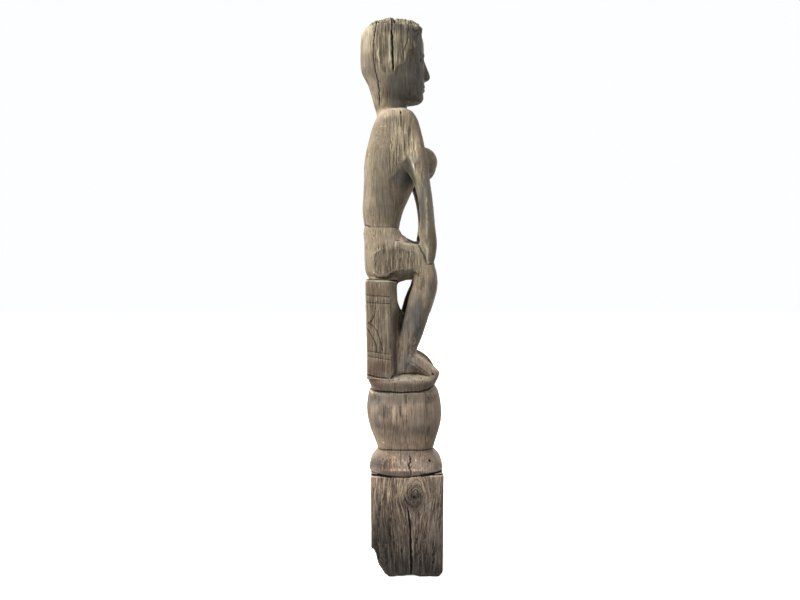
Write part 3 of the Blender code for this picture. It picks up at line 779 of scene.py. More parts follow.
def carveBody(skin):
    at, out = skin.at, skin.out
    x, y, z = at.T
    for plane, seed in (("right", 41), ("left", 47)):
        deep = zone(skin, plane, body["openGrain"], 0.002, seed)
        rough = 0.85 * ramp(deep, -0.004, 0.009)
        skin.atLeast(rough=rough)
        skin.atLeast(bleach=0.2 * rough)
        deep = zone(skin, plane, body["hollow"], 0.0016, seed)
        relax(skin, ramp(deep, -0.002, 0.006) * ramp(z, 0.815, 0.84), body["hollowPasses"])
        # the hollow under the shoulder is sunk and darkened with painted shade
        hollow = ramp(deep, -0.001, 0.004) * ramp(z, 0.802, 0.832)
        hollow *= ramp(facing(skin, plane), 0.02, 0.32) * ramp(np.abs(x), 0.03, 0.046)
        fade = ramp(z, 0.8, 0.848)
        front = ramp(0.01 - y, 0, 0.03)
        skin.push -= body["hollowDepth"] * hollow * fade
        skin.tone -= hollow * (0.3 + 0.4 * fade + 0.55 * front)
        skin.warm -= 0.45 * hollow
        flat = zone(skin, plane, body["thighFlat"], 0.0008, seed + 3)
        inner = ramp(flat, -0.001, 0.0024)
        skin.push -= body["thighDepth"] * inner
        skin.atLeast(rough=0.7 * inner)
        # painted shade along the upper edge of the pared flat on the thigh
        edge = ramp(flat, -0.0016, 0.0) * ramp(-flat, -0.0022, 0.0)
        upper = (z > 0.655) * ramp(noise(at, (0.01, 0.01, 0.01), seed + 5), -0.5, 0.3)
        skin.atLeast(shade=0.36 * edge * upper)
    # painted shadows under the arm, at the pot's edge and under the thighs
    for path, width, stops in body["paintedShadows"]:
        soften(skin, path, width, tone=stops)
    # the inner sides of the arms and legs, and the lap between the thighs, are darkened with painted shade
    inward = ramp(-np.sign(x) * out[:, 0], 0.05, 0.65)
    arms = ramp(np.abs(x), 0.034, 0.042) * ramp(z, 0.69, 0.705) * (z < 0.88)
    legs = ramp(z, 0.47, 0.5) * ramp(0.64 - z, 0, 0.045) * (y < 0.012)
    darker = body["insideDarker"]
    skin.tone -= darker * inward * arms * (y < -0.015)
    skin.tone -= darker * inward * legs
    lap = ramp(-out[:, 0], 0.1, 0.4) * ramp(x, -0.045, -0.03) * ramp(z, 0.694, 0.7)
    skin.tone -= darker * lap * (z < 0.724) * (y < 0.004) * (y > -0.045)
    # painted shade in the hand's crease, the waist and under the thigh, and a painted highlight along the arm's
    # ridge and the wedge at the hand
    bothSides(skin, body["handCrease"], 2.4, 1.8, taper=0.15, shade=0.62)
    bothSides(skin, body["armRidge"], 4.5, -0.9, taper=0.1, bleach=0.22)
    bothSides(skin, body["wedge"], 4, -0.8, bleach=0.45)
    ring(skin, body["waist"], 2.6, 1.6, ramp(y, -0.016, -0.008) * (z < 0.746), 0.6, shade=0.48)
    bothSides(skin, body["underThigh"], 2, 0.6, taper=0.2, shade=0.2)
    cracks(skin, "right", body["dents"], 0.25, 0.5)
    for path, width, pale in body["scuffs"]:
        stroke(skin, "right", path, width, 0, wobble=0.6, halo=1.2, bleach=pale)
    # the spine, the navel, and the meeting of the thighs, with painted shade in their hollows
    stroke(skin, "back", body["spine"], 11, 2.2, taper=0.2, shade=0.12)
    swell(skin, body["navel"], (0.0055, 0.012, 0.006), -0.0024, shade=0.7)
    stroke(skin, "top", body["thighsMeet"], 5, 1.6, taper=0.2, shade=0.3)
    # the fingers are parted by cuts with painted shade in them
    for side in (-1, 1):
        for finger in (-1, 0, 1):
            across = side * body["handMiddle"] + finger * body["fingerSpacing"]
            stroke3(skin, [(across, -0.0758, 0.7), (across, -0.0735, 0.68), (across * 0.985, -0.0692, 0.661)],
                    2.4, 1.8, shade=0.6)


# the seat, the feet and the footrest

seat = {
    "bands": [
        mm(24.9, 586.3, 72.2, 589.5),
        mm(24.9, 571.6, 72.2, 574.7),
        mm(24.9, 465.4, 70.1, 472.8),
        mm(24.9, 453.9, 70.1, 461.2),
    ],
    "scroll": [
        mm(53.7, 573.7, 54, 565, 54.8, 558.9, 56, 548, 59, 541, 63, 535.5, 69, 531),
        mm(76, 525, 72.7, 521.5, 66.2, 511.3, 58.3, 498.1, 53, 487.6, 52, 478, 51.7, 470),
        mm(69, 531, 64, 528.5, 58.3, 524.5, 50.3, 514, 45.1, 498.1, 41, 484.9, 39.2, 473),
    ],
    "hipGap": mm(76, 624.5, 60, 624, 30, 622.5, 10.8, 620.5),
    "heelCutShadow": mm(12.8, 429, 15, 421, 22.6, 414.1),
    "bottom": mm(76, 422.8, 70.1, 422.3, 49, 417.1, 25.9, 415),
    "grooveHalf": 1.6,
    "grooveDepth": 1.5,
}


def carveSeat(skin):
    at, out = skin.at, skin.out
    x, y, z = at.T
    inSeat = (z > 0.405) & (z < 0.625) & (y > 0.0215)
    flatSides = inSeat * np.maximum(ramp(np.abs(out[:, 0]), 0.75, 0.95), ramp(out[:, 1], 0.5, 0.9))
    for band in seat["bands"]:
        ring(skin, band, seat["grooveHalf"], seat["grooveDepth"], flatSides, 0.4, halo=0.9, crack=0.55)
    for path in seat["scroll"]:
        bothSides(skin, path, seat["grooveHalf"], seat["grooveDepth"], taper=0, wobble=0.4, halo=1.0,
                  crack=0.58)
    bothSides(skin, seat["bottom"], 2, 2.4, taper=0.05, halo=0.9, crack=0.7)
    ring(skin, seat["hipGap"], 3, 3.6, (y > 0.008), 0.8, crack=0.85)
    # a cut at the seat's lower front corner, darkened with painted shadow
    stroke(skin, "right", seat["heelCutShadow"], 2.8, 2, taper=0.2, shade=0.85)
    # painted shade in the crease where the seat meets the backs of the legs
    shadedCrease = ramp(0.0065 - np.abs(y - 0.013), 0, 0.005) * ramp(0.57 - z, 0, 0.03)
    shadedCrease *= ramp(z, 0.417, 0.423) * (np.abs(x) < 0.064)
    skin.atLeast(shade=0.85 * shadedCrease)


feet = {
    "betweenPasses": 60 if fine else 25,
    "bandEdge": mm(-15.5, 452, -29.6, 443, -47.3, 429.1, -61.4, 419),
    "sole": mm(12.7, 420, -5, 423.5, -22.6, 423.5, -43.7, 421.5, -62.5, 417.5),
    "fold": mm(-18.3, 490, -16, 472, -13.3, 453.4),
    "toeGroove": mm(-64, 432, -65.5, 425, -64, 418.5),
    "restEdge": mm(36, 406, 27, 412, 12.7, 417.5, -12, 420.5, -35, 420.5, -56, 416.5, -60, 412.5, -38, 410.5, -8,
                   409.5, 15, 406),
    "toeHole": mm(-66.8, 423.8, -67.6, 422.2),
    "toeMiddle": 0.0352,
    "toeSpacing": 0.0076,
    "toeCut": (0.0021, 0.0015),
    "leftBack": 0.01,
}


def betweenLegs(at):
    # the narrow place between the legs, where nothing is carved and nothing weathers
    x, y, z = at.T
    inside = ramp(0.034 - np.abs(x), 0, 0.01) * ramp(0.03 - np.abs(y), 0, 0.008)
    return inside * ramp(z, 0.425, 0.435) * (z < 0.63)


def carveFeet(skin):
    at, out = skin.at, skin.out
    x, y, z = at.T
    # the lines of the feet and the sole are cut and darkened with painted shade
    for name, width, depth, dark in (("bandEdge", 2.2, 1.5, 0.55), ("sole", 2.4, 2, 0.85),
                                     ("fold", 2.6, 1, 0.45), ("toeGroove", 2, 1.4, 0.65)):
        bothSides(skin, feet[name], width, depth, shift=(4 if name == "sole" else 1000 * feet["leftBack"], 0),
                  taper=0.25, halo=1.2, shade=dark)
    stroke(skin, "right", feet["toeHole"], 1.8, 1.4, taper=0, crack=0.9)
    # the inner side of each foot lies in the other's shadow, which is painted on as shade
    between = ramp(z, 0.418, 0.424) * ramp(0.48 - z, 0, 0.03)
    between *= ramp(-y, 0.004, 0.024) * ramp(0.033 - np.abs(x), 0, 0.008)
    skin.atLeast(shade=0.6 * between)
    farFoot = ramp(-out[:, 0], 0.2, 0.6) * ramp(x, 0.002, 0.008) * ramp(-y, 0.012, 0.024)
    skin.tone -= 0.8 * farFoot * ramp(0.034 - np.abs(z - 0.452), 0, 0.016)
    # the edge of the footrest's top is painted pale in flecks, partly as rubbed wear and partly as a painted
    # highlight
    for plane, seed in (("right", 51), ("left", 53)):
        edge = ramp(zone(skin, plane, feet["restEdge"], 0.0012, seed), -0.0006, 0.0014)
        flecks = ramp(noise(at, (0.005, 0.005, 0.0022), seed, 2), -0.45, 0.25)
        skin.atLeast(bleach=edge * (0.02 + 0.34 * flecks))
    # the toes are parted by cuts with painted shade in them
    half, depth = feet["toeCut"]
    for side in (-1, 1):
        back = feet["leftBack"] if side > 0 else 0.0
        toes = ramp(-0.062 + 0.6 * back - y, 0, 0.008) * (z > 0.415) * (z < 0.452)
        for gap in (-1.5, -0.5, 0.5, 1.5):
            across = side * feet["toeMiddle"] + gap * feet["toeSpacing"]
            cut = toes * ramp(1 - np.abs(x - across) / half, 0, 0.8)
            skin.push -= depth * cut
            skin.atLeast(shade=0.7 * cut)
    # between the legs the cuts are undone, and the skin is smoothed and darkened with painted shade
    inside = betweenLegs(at)
    skin.push *= 1 - inside
    skin.shade += inside * (0.55 - skin.shade)
    relax(skin, inside, feet["betweenPasses"])


# the pot, the collar and the post

lowerPole = {
    "potFoot": mm(-90, 261.9, 90, 261.4),
    "footrestGroove": mm(-70, 396, -66, 394.5, -57.8, 389.5, -39, 386.2, 0, 384.2, 57.3, 386.2, 70, 388),
    "collarGroove": mm(-90, 216.3, -84.7, 216.1, -49.5, 213.8, -7.7, 208.8, 23.7, 209.8, 63.3, 214.9, 75, 215.8,
                       90, 216),
    "potCreases": [mm(60, 389, 58.5, 387.2, 53.6, 368.3), mm(-48, 385.2, -60.7, 372.6)],
    "potCracks": [mm(-9.8, 384, -9.7, 360.6), mm(1.8, 360, 1.8, 329.6)],
    "potMarks": [  # scratches left by the tools: path, half width, shade
        (mm(21, 357, -7, 356.8), 1.1, 0.4), (mm(-49, 364.2, -66, 363.8), 1.1, 0.4),
        (mm(27, 356, 27.2, 324), 1, 0.35), (mm(18, 357, 17.8, 321), 1, 0.4), (mm(9.5, 356.5, 10, 323), 1, 0.45),
        (mm(-6, 356, -6, 320), 1, 0.4), (mm(-15, 356, -15.5, 325), 1, 0.3), (mm(-28, 362, -28, 330), 1, 0.35),
        (mm(-40, 362, -40.5, 328), 1, 0.3),
    ],
    "potStains": [  # centre and radii in millimetres, how many stops darker
        (38.5, 348, 12, 14, 0.72), (24, 315, 18, 7.5, 0.4), (-40, 309, 20, 7.5, 0.42), (-54, 344, 11, 18, 0.45),
        (56, 325, 9, 13, 0.4), (-8, 325, 10, 6, 0.35), (56, 368, 12, 10, 0.7), (-56, 368, 12, 10, 0.75),
    ],
    "collarCrack": mm(-15, 252, -16.2, 248.5, -18.1, 232.6, -19.1, 212.1),
    "collarNet": [
        mm(-11, 244, -15, 238.5, -13, 235), mm(-21.5, 240, -17, 235),
        mm(-12, 234, -18, 229, -14, 224.5), mm(-22.5, 233, -18, 227),
        mm(-9, 229, -13, 221), mm(-26, 229, -21.5, 221),
    ],
    "collarHole": mm(-59, 242, -60, 240.8),
    "knotRings": 8.0,
    "ringHeight": 0.0004,
    "rotDepth": 0.0005,
    "heartDepth": 0.002,
    "knotGrain": 0.033,
    "knotReach": (0.0225, 0.039, 0.03),
    "knotHeart": (-0.0278, 0.1664),
    "crackTop": mm(-4.5, 174, -6, 170, -11.8, 156, -15, 137),
    "grainSway": 0.0016,
    "mainCrack": mm(-13.8, 143, -16, 130.1, -19.2, 98.6, -21.3, 0),
    "splits": [  # path, half width, depth
        (mm(22.7, 125.9, 22.6, 67.1), 1.2, 2.2), (mm(-0.3, 69.2, -0.6, 35.6), 1.2, 2),
        (mm(-51.6, 67.1, -52, 35.6), 1.2, 2), (mm(11.2, 38, 11, 0), 1.4, 2.6),
        (mm(-39.1, 46.1, -39.5, 0), 1.3, 2.4), (mm(10.4, 207, 10.4, 170), 1, 1.2),
    ],
}


def carveLowerPole(skin):
    at, out = skin.at, skin.out
    x, y, z = at.T
    ring(skin, lowerPole["potFoot"], 2.2, 1.8, (z > 0.2575), 0.6, shade=0.85, crack=0.35)
    ends = ramp(np.abs(y + 0.01), 0.03, 0.062)
    ring(skin, lowerPole["collarGroove"], 2.4, 3.6, 0.75 + 0.25 * ends, 0.6, halo=0.9, crack=0.8)
    ring(skin, lowerPole["collarGroove"], 4, 3, ends, 0.6, halo=1.0, crack=0.9)
    # the grooves under the footrest and the creases at the pot's top corners are darkened with painted shade
    ring(skin, lowerPole["footrestGroove"], 4, 2.6, ends * (z < 0.402), 0.6, shade=0.7)
    ring(skin, lowerPole["footrestGroove"], 2.8, 3.6, (z < 0.402), 0.6, halo=0.9, shade=0.8, crack=0.45)
    for crease in lowerPole["potCreases"]:
        bothSides(skin, crease, 2.2, 1, shade=0.45)
    cracks(skin, "right", [(path, 1.5, 1.4, 0.75) for path in lowerPole["potCracks"]])
    for path, width, dark in lowerPole["potMarks"]:
        stroke(skin, "right", path, width, 0.4, wobble=0.5, halo=1.2, shade=dark)
    for *place, dark in lowerPole["potStains"]:
        centre, radii = np.array(mm(*place))
        blot(skin, "right", centre, radii * 1.25, 0.9, tone=-1.1 * dark, warm=-0.4 * dark, rough=0.3)
    stroke(skin, "right", lowerPole["collarCrack"], 1.9, 2.6, taper=0.15, wobble=3, halo=1.0, seed=9, crack=0.75)
    cracks(skin, "right", [(path, 1, 1, 0.55) for path in lowerPole["collarNet"]], 0.2, 0.8)
    stroke(skin, "right", lowerPole["collarHole"], 2, 1.6, taper=0, crack=0.95)
    cracks(skin, "right", [(lowerPole["crackTop"], 1.1, 2, 0.8)], wobble=0.4)
    cracks(skin, "right", [(lowerPole["mainCrack"], 2.7, 6.5, 1.0)], 0.1)
    cracks(skin, "right", [(*split, 0.75) for split in lowerPole["splits"]])
    # growth rings standing out of the knot, whose heart and lower half are soft, rotten and dark
    heartY, heartZ = lowerPole["knotHeart"]
    away = knotDistance(at)
    onFace = ramp(-out[:, 0], 0.5, 0.8) * (x < 0) * (z < 0.2085)
    inKnot = ramp(1.1 - away, 0, 0.3) * onFace
    patchy = ramp(noise(at, (0.006, 0.006, 0.004), 63, 2), -0.35, 0.25)
    wave = np.cos(away * 2 * math.pi * lowerPole["knotRings"]) * (0.35 + 0.65 * patchy)
    rotten = ramp(heartZ + 0.016 - z - 0.25 * (y - heartY), 0, 0.014) * (0.4 + 0.6 * patchy)
    skin.push += inKnot * (lowerPole["ringHeight"] * wave - lowerPole["rotDepth"] * rotten)
    skin.shade = np.clip(skin.shade + inKnot * (0.2 + 0.45 * rotten - 0.42 * wave), 0, 1)
    skin.bleach = np.clip(skin.bleach + inKnot * (1 - rotten) * (0.22 + 0.15 * wave), 0, 1)
    heart = ramp(1.2 - np.hypot((y - heartY) / 0.0048, (z - heartZ) / 0.004), 0, 0.9) * onFace
    skin.push -= lowerPole["heartDepth"] * heart
    skin.atLeast(crack=0.62 * heart)


def knotDistance(at):
    # how far out in the knot each point is, from 0 at its heart to 1 at its rim
    _, y, z = at.T
    heartY, heartZ = lowerPole["knotHeart"]
    wide, above, below = lowerPole["knotReach"]
    dy, dz = y - heartY, z - heartZ
    dy = np.abs(dy + 0.12 * np.clip(dz, 0, 1)) / wide
    dz = np.abs(dz) / np.where(dz > 0, above, below)
    return (dy**1.5 + dz**1.5) ** (1 / 1.5) + 0.12 * noise(at, (0.009, 0.009, 0.006), 61, 2)


def bendGrain(skin):
    # the grain parts round the knot, as water parts round a stone, and closes into rings inside it
    at = skin.at
    x, y, z = at.T
    heartY, heartZ = lowerPole["knotHeart"]
    away = knotDistance(at)
    onPost = (x < 0) & (z < 0.212)
    within = onPost & (away < 1)
    across = y - heartY
    grain = at.copy()
    # a face that slopes still shows long fibres, not their ends
    sideways, ahead = (spread(skin, ramp(np.abs(skin.out[:, axis]), 0.35, 0.8), 14) for axis in (0, 1))
    grain[:, 0] *= 1 - 0.8 * sideways
    parted = across * (1 - 1 / np.maximum(away, 1) ** 2)
    grain[:, 1] = np.where(onPost, heartY + np.where(within, (away - 1) * lowerPole["knotGrain"], parted), y)
    turn = np.arctan2(np.abs(across), z - heartZ)
    grain[:, 2] = np.where(within, heartZ + 0.035 * turn, z)
    grain[:, 1] *= 1 - 0.8 * ahead
    # a slow waver, so that no fibre is dead straight
    for axis, seed in ((0, 71), (1, 73)):
        grain[:, axis] += lowerPole["grainSway"] * noise(at, (0.05, 0.05, 0.09), seed, 2)
    skin.grain = grain


# weather: checks, open grain, worn edges, stains, and painted shade and highlights

weather = {
    "seed": 20,
    # plane, how many, half width, depth, low corner, high corner, shortest, longest, in millimetres
    "checks": [
        ("right", 90, 0.9, 1.2, -74, 4, 66, 190, 12, 60), ("right", 26, 1, 1.4, -70, 0, 46, 80, 25, 70),
        ("right", 12, 0.9, 0.8, 28, 560, 70, 612, 10, 30), ("left", 40, 1.3, 2.2, -74, 0, 64, 200, 20, 120),
        ("front", 40, 1.3, 2.2, -72, 0, 72, 200, 20, 120), ("back", 34, 1.3, 2.2, -72, 60, 72, 200, 20, 90),
        ("right", 14, 1, 0.9, -60, 270, 66, 380, 10, 35), ("left", 12, 1.2, 1.4, -60, 270, 66, 380, 12, 50),
        ("front", 12, 1.2, 1.4, -60, 270, 60, 380, 12, 50), ("back", 10, 1.2, 1.4, -60, 270, 60, 380, 12, 60),
        ("right", 5, 0.9, 0.6, 22, 425, 40, 615, 15, 40), ("left", 8, 1.1, 1.2, 22, 425, 72, 615, 15, 70),
        ("back", 12, 1.2, 1.4, -60, 425, 60, 615, 20, 90), ("right", 12, 1.1, 1.1, -30, 650, 55, 690, 12, 30),
        ("left", 10, 1.1, 1.1, -30, 650, 55, 690, 12, 30), ("right", 13, 1, 0.9, -15, 850, 28, 950, 15, 50),
        ("left", 16, 1.1, 1.1, -15, 850, 28, 950, 15, 50), ("left", 6, 1.2, 1.4, 0, 750, 65, 960, 30, 90),
        ("back", 12, 1.2, 1.4, -50, 750, 50, 960, 30, 110), ("back", 8, 1.2, 1.3, -40, 1020, 40, 1160, 20, 70),
        ("right", 8, 1, 0.9, -55, 480, -5, 620, 12, 50), ("left", 8, 1, 0.9, -55, 480, -5, 620, 12, 50),
    ],
    # plane, how many, crack, bleach, half width, low corner, high corner
    "pits": [
        ("right", 12, 0.62, 0, 1, -30, 222, -4, 256), ("right", 22, 0.5, 0, 1.1, -60, 220, 30, 256),
        ("right", 14, 0, 0.5, 1.6, -34, 222, 20, 254), ("right", 26, 0.6, 0, 1, -55, 408, 30, 420),
        ("right", 12, 0, 0.9, 1.2, -32, 455, -12, 500), ("right", 60, 0.35, 0, 1, -50, 440, 60, 960),
        ("left", 50, 0.7, 0, 1.2, -60, 220, 60, 256),
    ],
    "specks": mm(-27.9, 498.7, -29.6, 489, -18.2, 474, -20.8, 460.8, 37.6, 279, 21.9, 127.1),
    "grainDepth": 0.00022,
    "roughDepth": 0.0004,
    "toolMarks": 0.0003,
    "blotches": 0.26,  # stops
    "postDarker": ((0.0, 0.06, 0.14, 0.2), (2.7, 1.35, 0.52, -0.25)),  # heights, stops
    # how far edges are rubbed pale and hollows are darkened with painted shade
    "fineWearAndShade": {"bleach": 0.55, "shade": 0.45},
    "broadWearAndShade": {"bleach": 0.25, "shade": 0.4},
    "mottle": (0.03, 0.03, 0.045),
}


def weatherChecks(skin):
    draw = np.random.default_rng(weather["seed"])
    for plane, count, width, depth, *places in weather["checks"]:
        low, high, (shortest, longest) = mm(*places)
        for number in range(count):
            start = draw.uniform(low, high)
            length = draw.uniform(shortest, longest)
            lean = draw.normal(0, 0.012)
            deep = draw.uniform(0.5, 1.0)
            path = [start, start + (lean * length, length * 0.5), start + (lean * length * 1.6, length)]
            if path[2][1] > high[1] + 0.008:
                path = [point - (0, path[2][1] - high[1] - 0.008) for point in path]
            dark = (0.3 if high[1] < 0.21 else 0.08) + 0.4 * deep
            stroke(skin, plane, path, width, depth * deep, taper=0.5, wobble=0.7, halo=1.1,
                   seed=200 + number, crack=dark)
    for plane, count, dark, pale, width, *corners in weather["pits"]:
        low, high = mm(*corners)
        for place in draw.uniform(low, high, (count, 2)):
            end = place + draw.uniform((-0.0012, -0.0022), (0.0012, 0.0022))
            wide = width * draw.uniform(0.7, 1.3)
            stroke(skin, plane, [place, end], wide, 0.6 * dark, taper=0, halo=1.0, crack=dark, bleach=pale)
    for place in weather["specks"]:
        stroke(skin, "right", [place, np.array(place) + (0.0004, 0.0004)], 2.1, 0, taper=0, halo=1.0, bleach=1.0)


def weatherSurface(skin):
    at, out, grain = skin.at, skin.out, skin.grain
    upright = ramp(1 - np.abs(out[:, 2]), 0.1, 0.5)
    fibres = noise(grain, (0.005, 0.005, 0.06), 81, 2)
    valleys = 1 - np.abs(noise(grain, (0.0062, 0.0062, 0.08), 87, 2)) * 3.2
    post = ramp(0.215 - at[:, 2], 0, 0.006)
    skin.atLeast(rough=0.75 * post)
    amount = weather["grainDepth"] + weather["roughDepth"] * skin.rough
    skin.push += upright * amount * (0.7 * fibres - 0.8 * np.clip(valleys, 0, 1))
    skin.push += weather["toolMarks"] * (1 - skin.rough) * noise(at, (0.011, 0.011, 0.006), 91, 2)


def wearEdgesAndShadeHollows(skin):
    # high places are rubbed pale and hollows are darkened with painted shade, at a fine and a broad scale
    at, out = skin.at, skin.out
    blurred = np.column_stack([spread(skin, at[:, axis], 3) for axis in range(3)])
    sharp = spread(skin, ((at - blurred) * out).sum(1), 2)
    for _ in range(2):
        blurred = np.column_stack([spread(skin, blurred[:, axis], 14) for axis in range(3)])
    broad = spread(skin, ((at - blurred) * out).sum(1), 3)
    fineWearAndShade, broadWearAndShade = weather["fineWearAndShade"], weather["broadWearAndShade"]
    for name, way, fineRange, broadRange in (("bleach", 1, (0.00004, 0.0003), (0.0004, 0.0025)),
                                             ("shade", -1, (0.00006, 0.0004), (0.0004, 0.003))):
        worn = skin[name] + fineWearAndShade[name] * ramp(way * sharp, *fineRange)
        skin[name] = np.clip(worn + broadWearAndShade[name] * ramp(way * broad, *broadRange), 0, 1)


def weatherShadeAndHighlightColours(skin):
    at, out = skin.at, skin.out
    _, y, z = at.T
    # undersides are darkened with painted shade; tops are paler, partly sun-bleached and partly a painted highlight
    skin.shade += 0.25 * ramp(-out[:, 2], 0.2, 0.8)
    skin.bleach += 0.22 * ramp(out[:, 2], 0.3, 0.9)
    post = ramp(0.214 - z, 0, 0.003)
    skin.tone -= post * np.interp(z, *weather["postDarker"])
    skin.tone -= 0.5 * post * ramp(y, -0.015, 0.04) * ramp(0.15 - z, 0, 0.06)
    for plane, rows in patches.items():
        for row in rows:
            for side in (("right", "left") if plane == "both" else (plane,)):
                blot(skin, side, *mm(*row[:4]), **dict(zip(patchPaints, row[4:])))
    skin.bleach *= 1 - 0.5 * ramp(-out[:, 1], 0.2, 0.7) * (z > 1.0)
    skin.bleach *= 1 - betweenLegs(at)
    blotches = noise(at, (0.016, 0.016, 0.024), 151, 3)
    fine = noise(at, (0.0045, 0.0045, 0.0065), 163, 2) * (1 - 0.6 * post)
    skin.tone += weather["blotches"] * (blotches + 0.5 * skin.mottle + fine)
    skin.warm += 0.5 * weather["blotches"] * noise(at, (0.022, 0.022, 0.04), 157, 2)
    for name in paintNames:
        low = {"tone": -2.5, "warm": -1}.get(name, 0)
        skin[name] = np.clip(skin[name], low, 1)


patches = {  # patches by side, partly painted light and shade and partly the wood's own colour: across, up, half width and half height in millimetres, then as much of each paint
    "both": [
        (-56, 760, 20, 90, -0.17), (30, 680, 60, 50, -0.14), (0, 240, 120, 30, 0.18), (0, 405, 100, 15, -0.18),
        (20, 1110, 80, 90, 0.14), (78, 1162, 20, 24, 0.05, 0, 0.5), (70, 1125, 15, 18, 0.15, 0, 0.3),
        (64, 1085, 15, 28, -0.35), (20, 1160, 42, 15, -0.8, -0.25), (-28, 1150, 16, 18, -0.25, -0.2),
        (30, 1115, 30, 25, -0.38), (68, 1035, 13, 35, 0.35), (25, 978, 42, 20, 0.7, -0.2),
        (70, 860, 12, 110, 0.35), (40, 885, 15, 38, -0.1, -0.3), (10, 912, 22, 50, 0.6, 0.1),
        (-28, 885, 12, 50, 0.9), (35, 795, 26, 45, -0.25, -0.2), (-43, 775, 8.5, 55, -1.35, -0.4),
        (-63, 755, 8, 50, 0.35, -0.4), (62, 700, 15, 35, 0.25), (10, 705, 30, 10, 0.2, -0.35),
        (15, 665, 40, 25, 0.2), (-25, 670, 20, 22, 0.15), (-53, 640, 16, 22, 0.45), (-12, 535, 24, 60, -0.75),
        (-35, 550, 15, 45, -0.85, -0.45), (-15, 520, 28, 90, 0, -0.35), (-20, 445, 40, 22, -0.15, -0.4),
        (-60, 830, 20, 60, 0, -0.45), (0, 345, 35, 16, 0, 0, 0, 0.35), (0, 240, 80, 18, 0, 0, 0, 0.6),
        (45, 520, 35, 110, -0.08, 0, 0, 0.4), (50, 435, 30, 18, -0.6, 0.5), (68, 500, 10, 90, 0, 0.32),
        (50, 600, 35, 18, -0.3, 0.4), (55, 408, 18, 10, 0.2, 0.55), (15, 500, 6, 80, -0.35),
        (-5, 414, 50, 7, -0.15, -0.4), (-10, 115, 40, 30, 0.22), (68, 240, 13, 20, -0.4),
        (0, 110, 90, 80, 0, 0.14), (0, 20, 90, 35, -0.3, 0.05), (0, 396, 60, 7, 0, 0, 0, 0, 0.25),
        (0, 375, 75, 13, -0.8), (25, 362, 14, 9, 0.15), (-64, 330, 10, 30, 0.3), (5, 335, 25, 25, 0.62),
        (-5, 325, 55, 30, 0.12), (0, 280, 70, 18, 0.6, 0.05), (0, 235, 90, 20, -0.45, 0.3),
        (-12, 236, 36, 15, 0.05, 0, 0.2), (50, 233, 20, 15, -0.45, -0.3), (-72, 240, 16, 16, -0.35),
        (10, 219, 90, 6, -0.5, 0.15), (60, 195, 15, 22, 0.3, 0.35), (20, 185, 26, 32, 0.45),
        (-50, 110, 26, 45, 0.2, 0.15), (-64, 185, 20, 30, -0.35), (10, 110, 30, 50, 0, 0.12),
    ],
    "right": [
        (74, 490, 8, 50, 0, 0.25), (-26.5, 166, 26, 34, -0.9, 0.1), (45, 80, 28, 50, -0.18),
    ],
    "back": [
        (0, 1145, 50, 40, -0.15, 0, 0.15), (-60, 240, 40, 18, -0.8),
    ],
}
patchPaints = ("tone", "warm", "bleach", "rough", "shade")


def makeGroundFlat(skin):
    # the foot stands level on the floor
    low = skin.at[:, 2] < blockSizes["groundBand"]
    skin.at[low, 2] = 0.0
    skin.at[:, 2] = np.maximum(skin.at[:, 2], 0)


def carvePole(piece):
    skin = startSkin(piece)
    skin.mottle = noise(skin.at, weather["mottle"], 101, 3)
    cutForms(skin, piece)
    bendGrain(skin)
    for work in (carveHead, carveFace, carveBody, carveSeat, carveFeet, carveLowerPole):
        work(skin)
    settle(skin)
    refreshNormals(skin, piece)
    crackHead(skin)
    weatherChecks(skin)
    weatherSurface(skin)
    settle(skin)
    carveCrown(skin)
    makeGroundFlat(skin)
    refreshNormals(skin, piece)
    wearEdgesAndShadeHollows(skin)
    weatherShadeAndHighlightColours(skin)
    print("carved:", len(skin.at), "points")
    return skin


def storePaint(piece, skin):
    # the stains, the painted shade and highlights, and the lie of the grain are kept on the points, for the wood's
    # material to read
    for name in paintNames:
        layer = piece.data.attributes.new(name, "FLOAT", "POINT")
        layer.data.foreach_set("value", skin[name])
    layer = piece.data.attributes.new("grain", "FLOAT_VECTOR", "POINT")
    layer.data.foreach_set("vector", skin.grain.ravel())


def thinOut(piece, skin):
    # fewer triangles, and most of those left where there is a crack or a line to draw
    group = piece.vertex_groups.new(name="keep")
    detail = np.zeros(len(skin.at))
    first, second = skin.edges.T
    for name in ("crack", "shade", "bleach"):
        change = np.abs(skin[name][first] - skin[name][second])
        np.maximum.at(detail, first, change)
        np.maximum.at(detail, second, change)
    detail = spread(skin, ramp(detail, 0.04, 0.22), 2)
    plain, steps = blockSizes["plainShare"], blockSizes["detailSteps"]
    share = np.where(skin.at[:, 0] < 0.004, 1, blockSizes["leftShare"])
    worth = np.clip(plain + (1 - plain) * detail, 0, 1) * share
    level = np.round(worth * steps).astype(int)
    for step in range(1, steps + 1):
        group.add(np.nonzero(level == step)[0].tolist(), step / steps, "REPLACE")
    triangles = len(piece.data.polygons) * 2
    finishWith(piece, "DECIMATE", ratio=min(1.0, blockSizes["mostTriangles"] / triangles), vertex_group="keep",
               invert_vertex_group=True, vertex_group_factor=blockSizes["keepDetail"])
    piece.vertex_groups.clear()


# the wood

woodColours = {
    "dark": paint(72, 63, 56),
    "middle": paint(138, 123, 104),
    "pale": paint(192, 175, 146),
    # sun-bleached and worn wood, and painted highlights on tops and ridges
    "bleachedAndHighlight": paint(226, 212, 182),
    # stains and dirt, and painted shade in hollows, creases and under things
    "stainAndShade": paint(54, 47, 43),
    "warm": paint(140, 104, 78),
    "grey": paint(136, 128, 118),
    # near black: painted shade in the depth of cracks and grooves
    "crack": paint(20, 16, 14),
    "lowTint": (1.0, 0.95, 0.99, 1.0),  # redder below
    "highTint": (0.975, 1.0, 0.98, 1.0),  # greener above
}


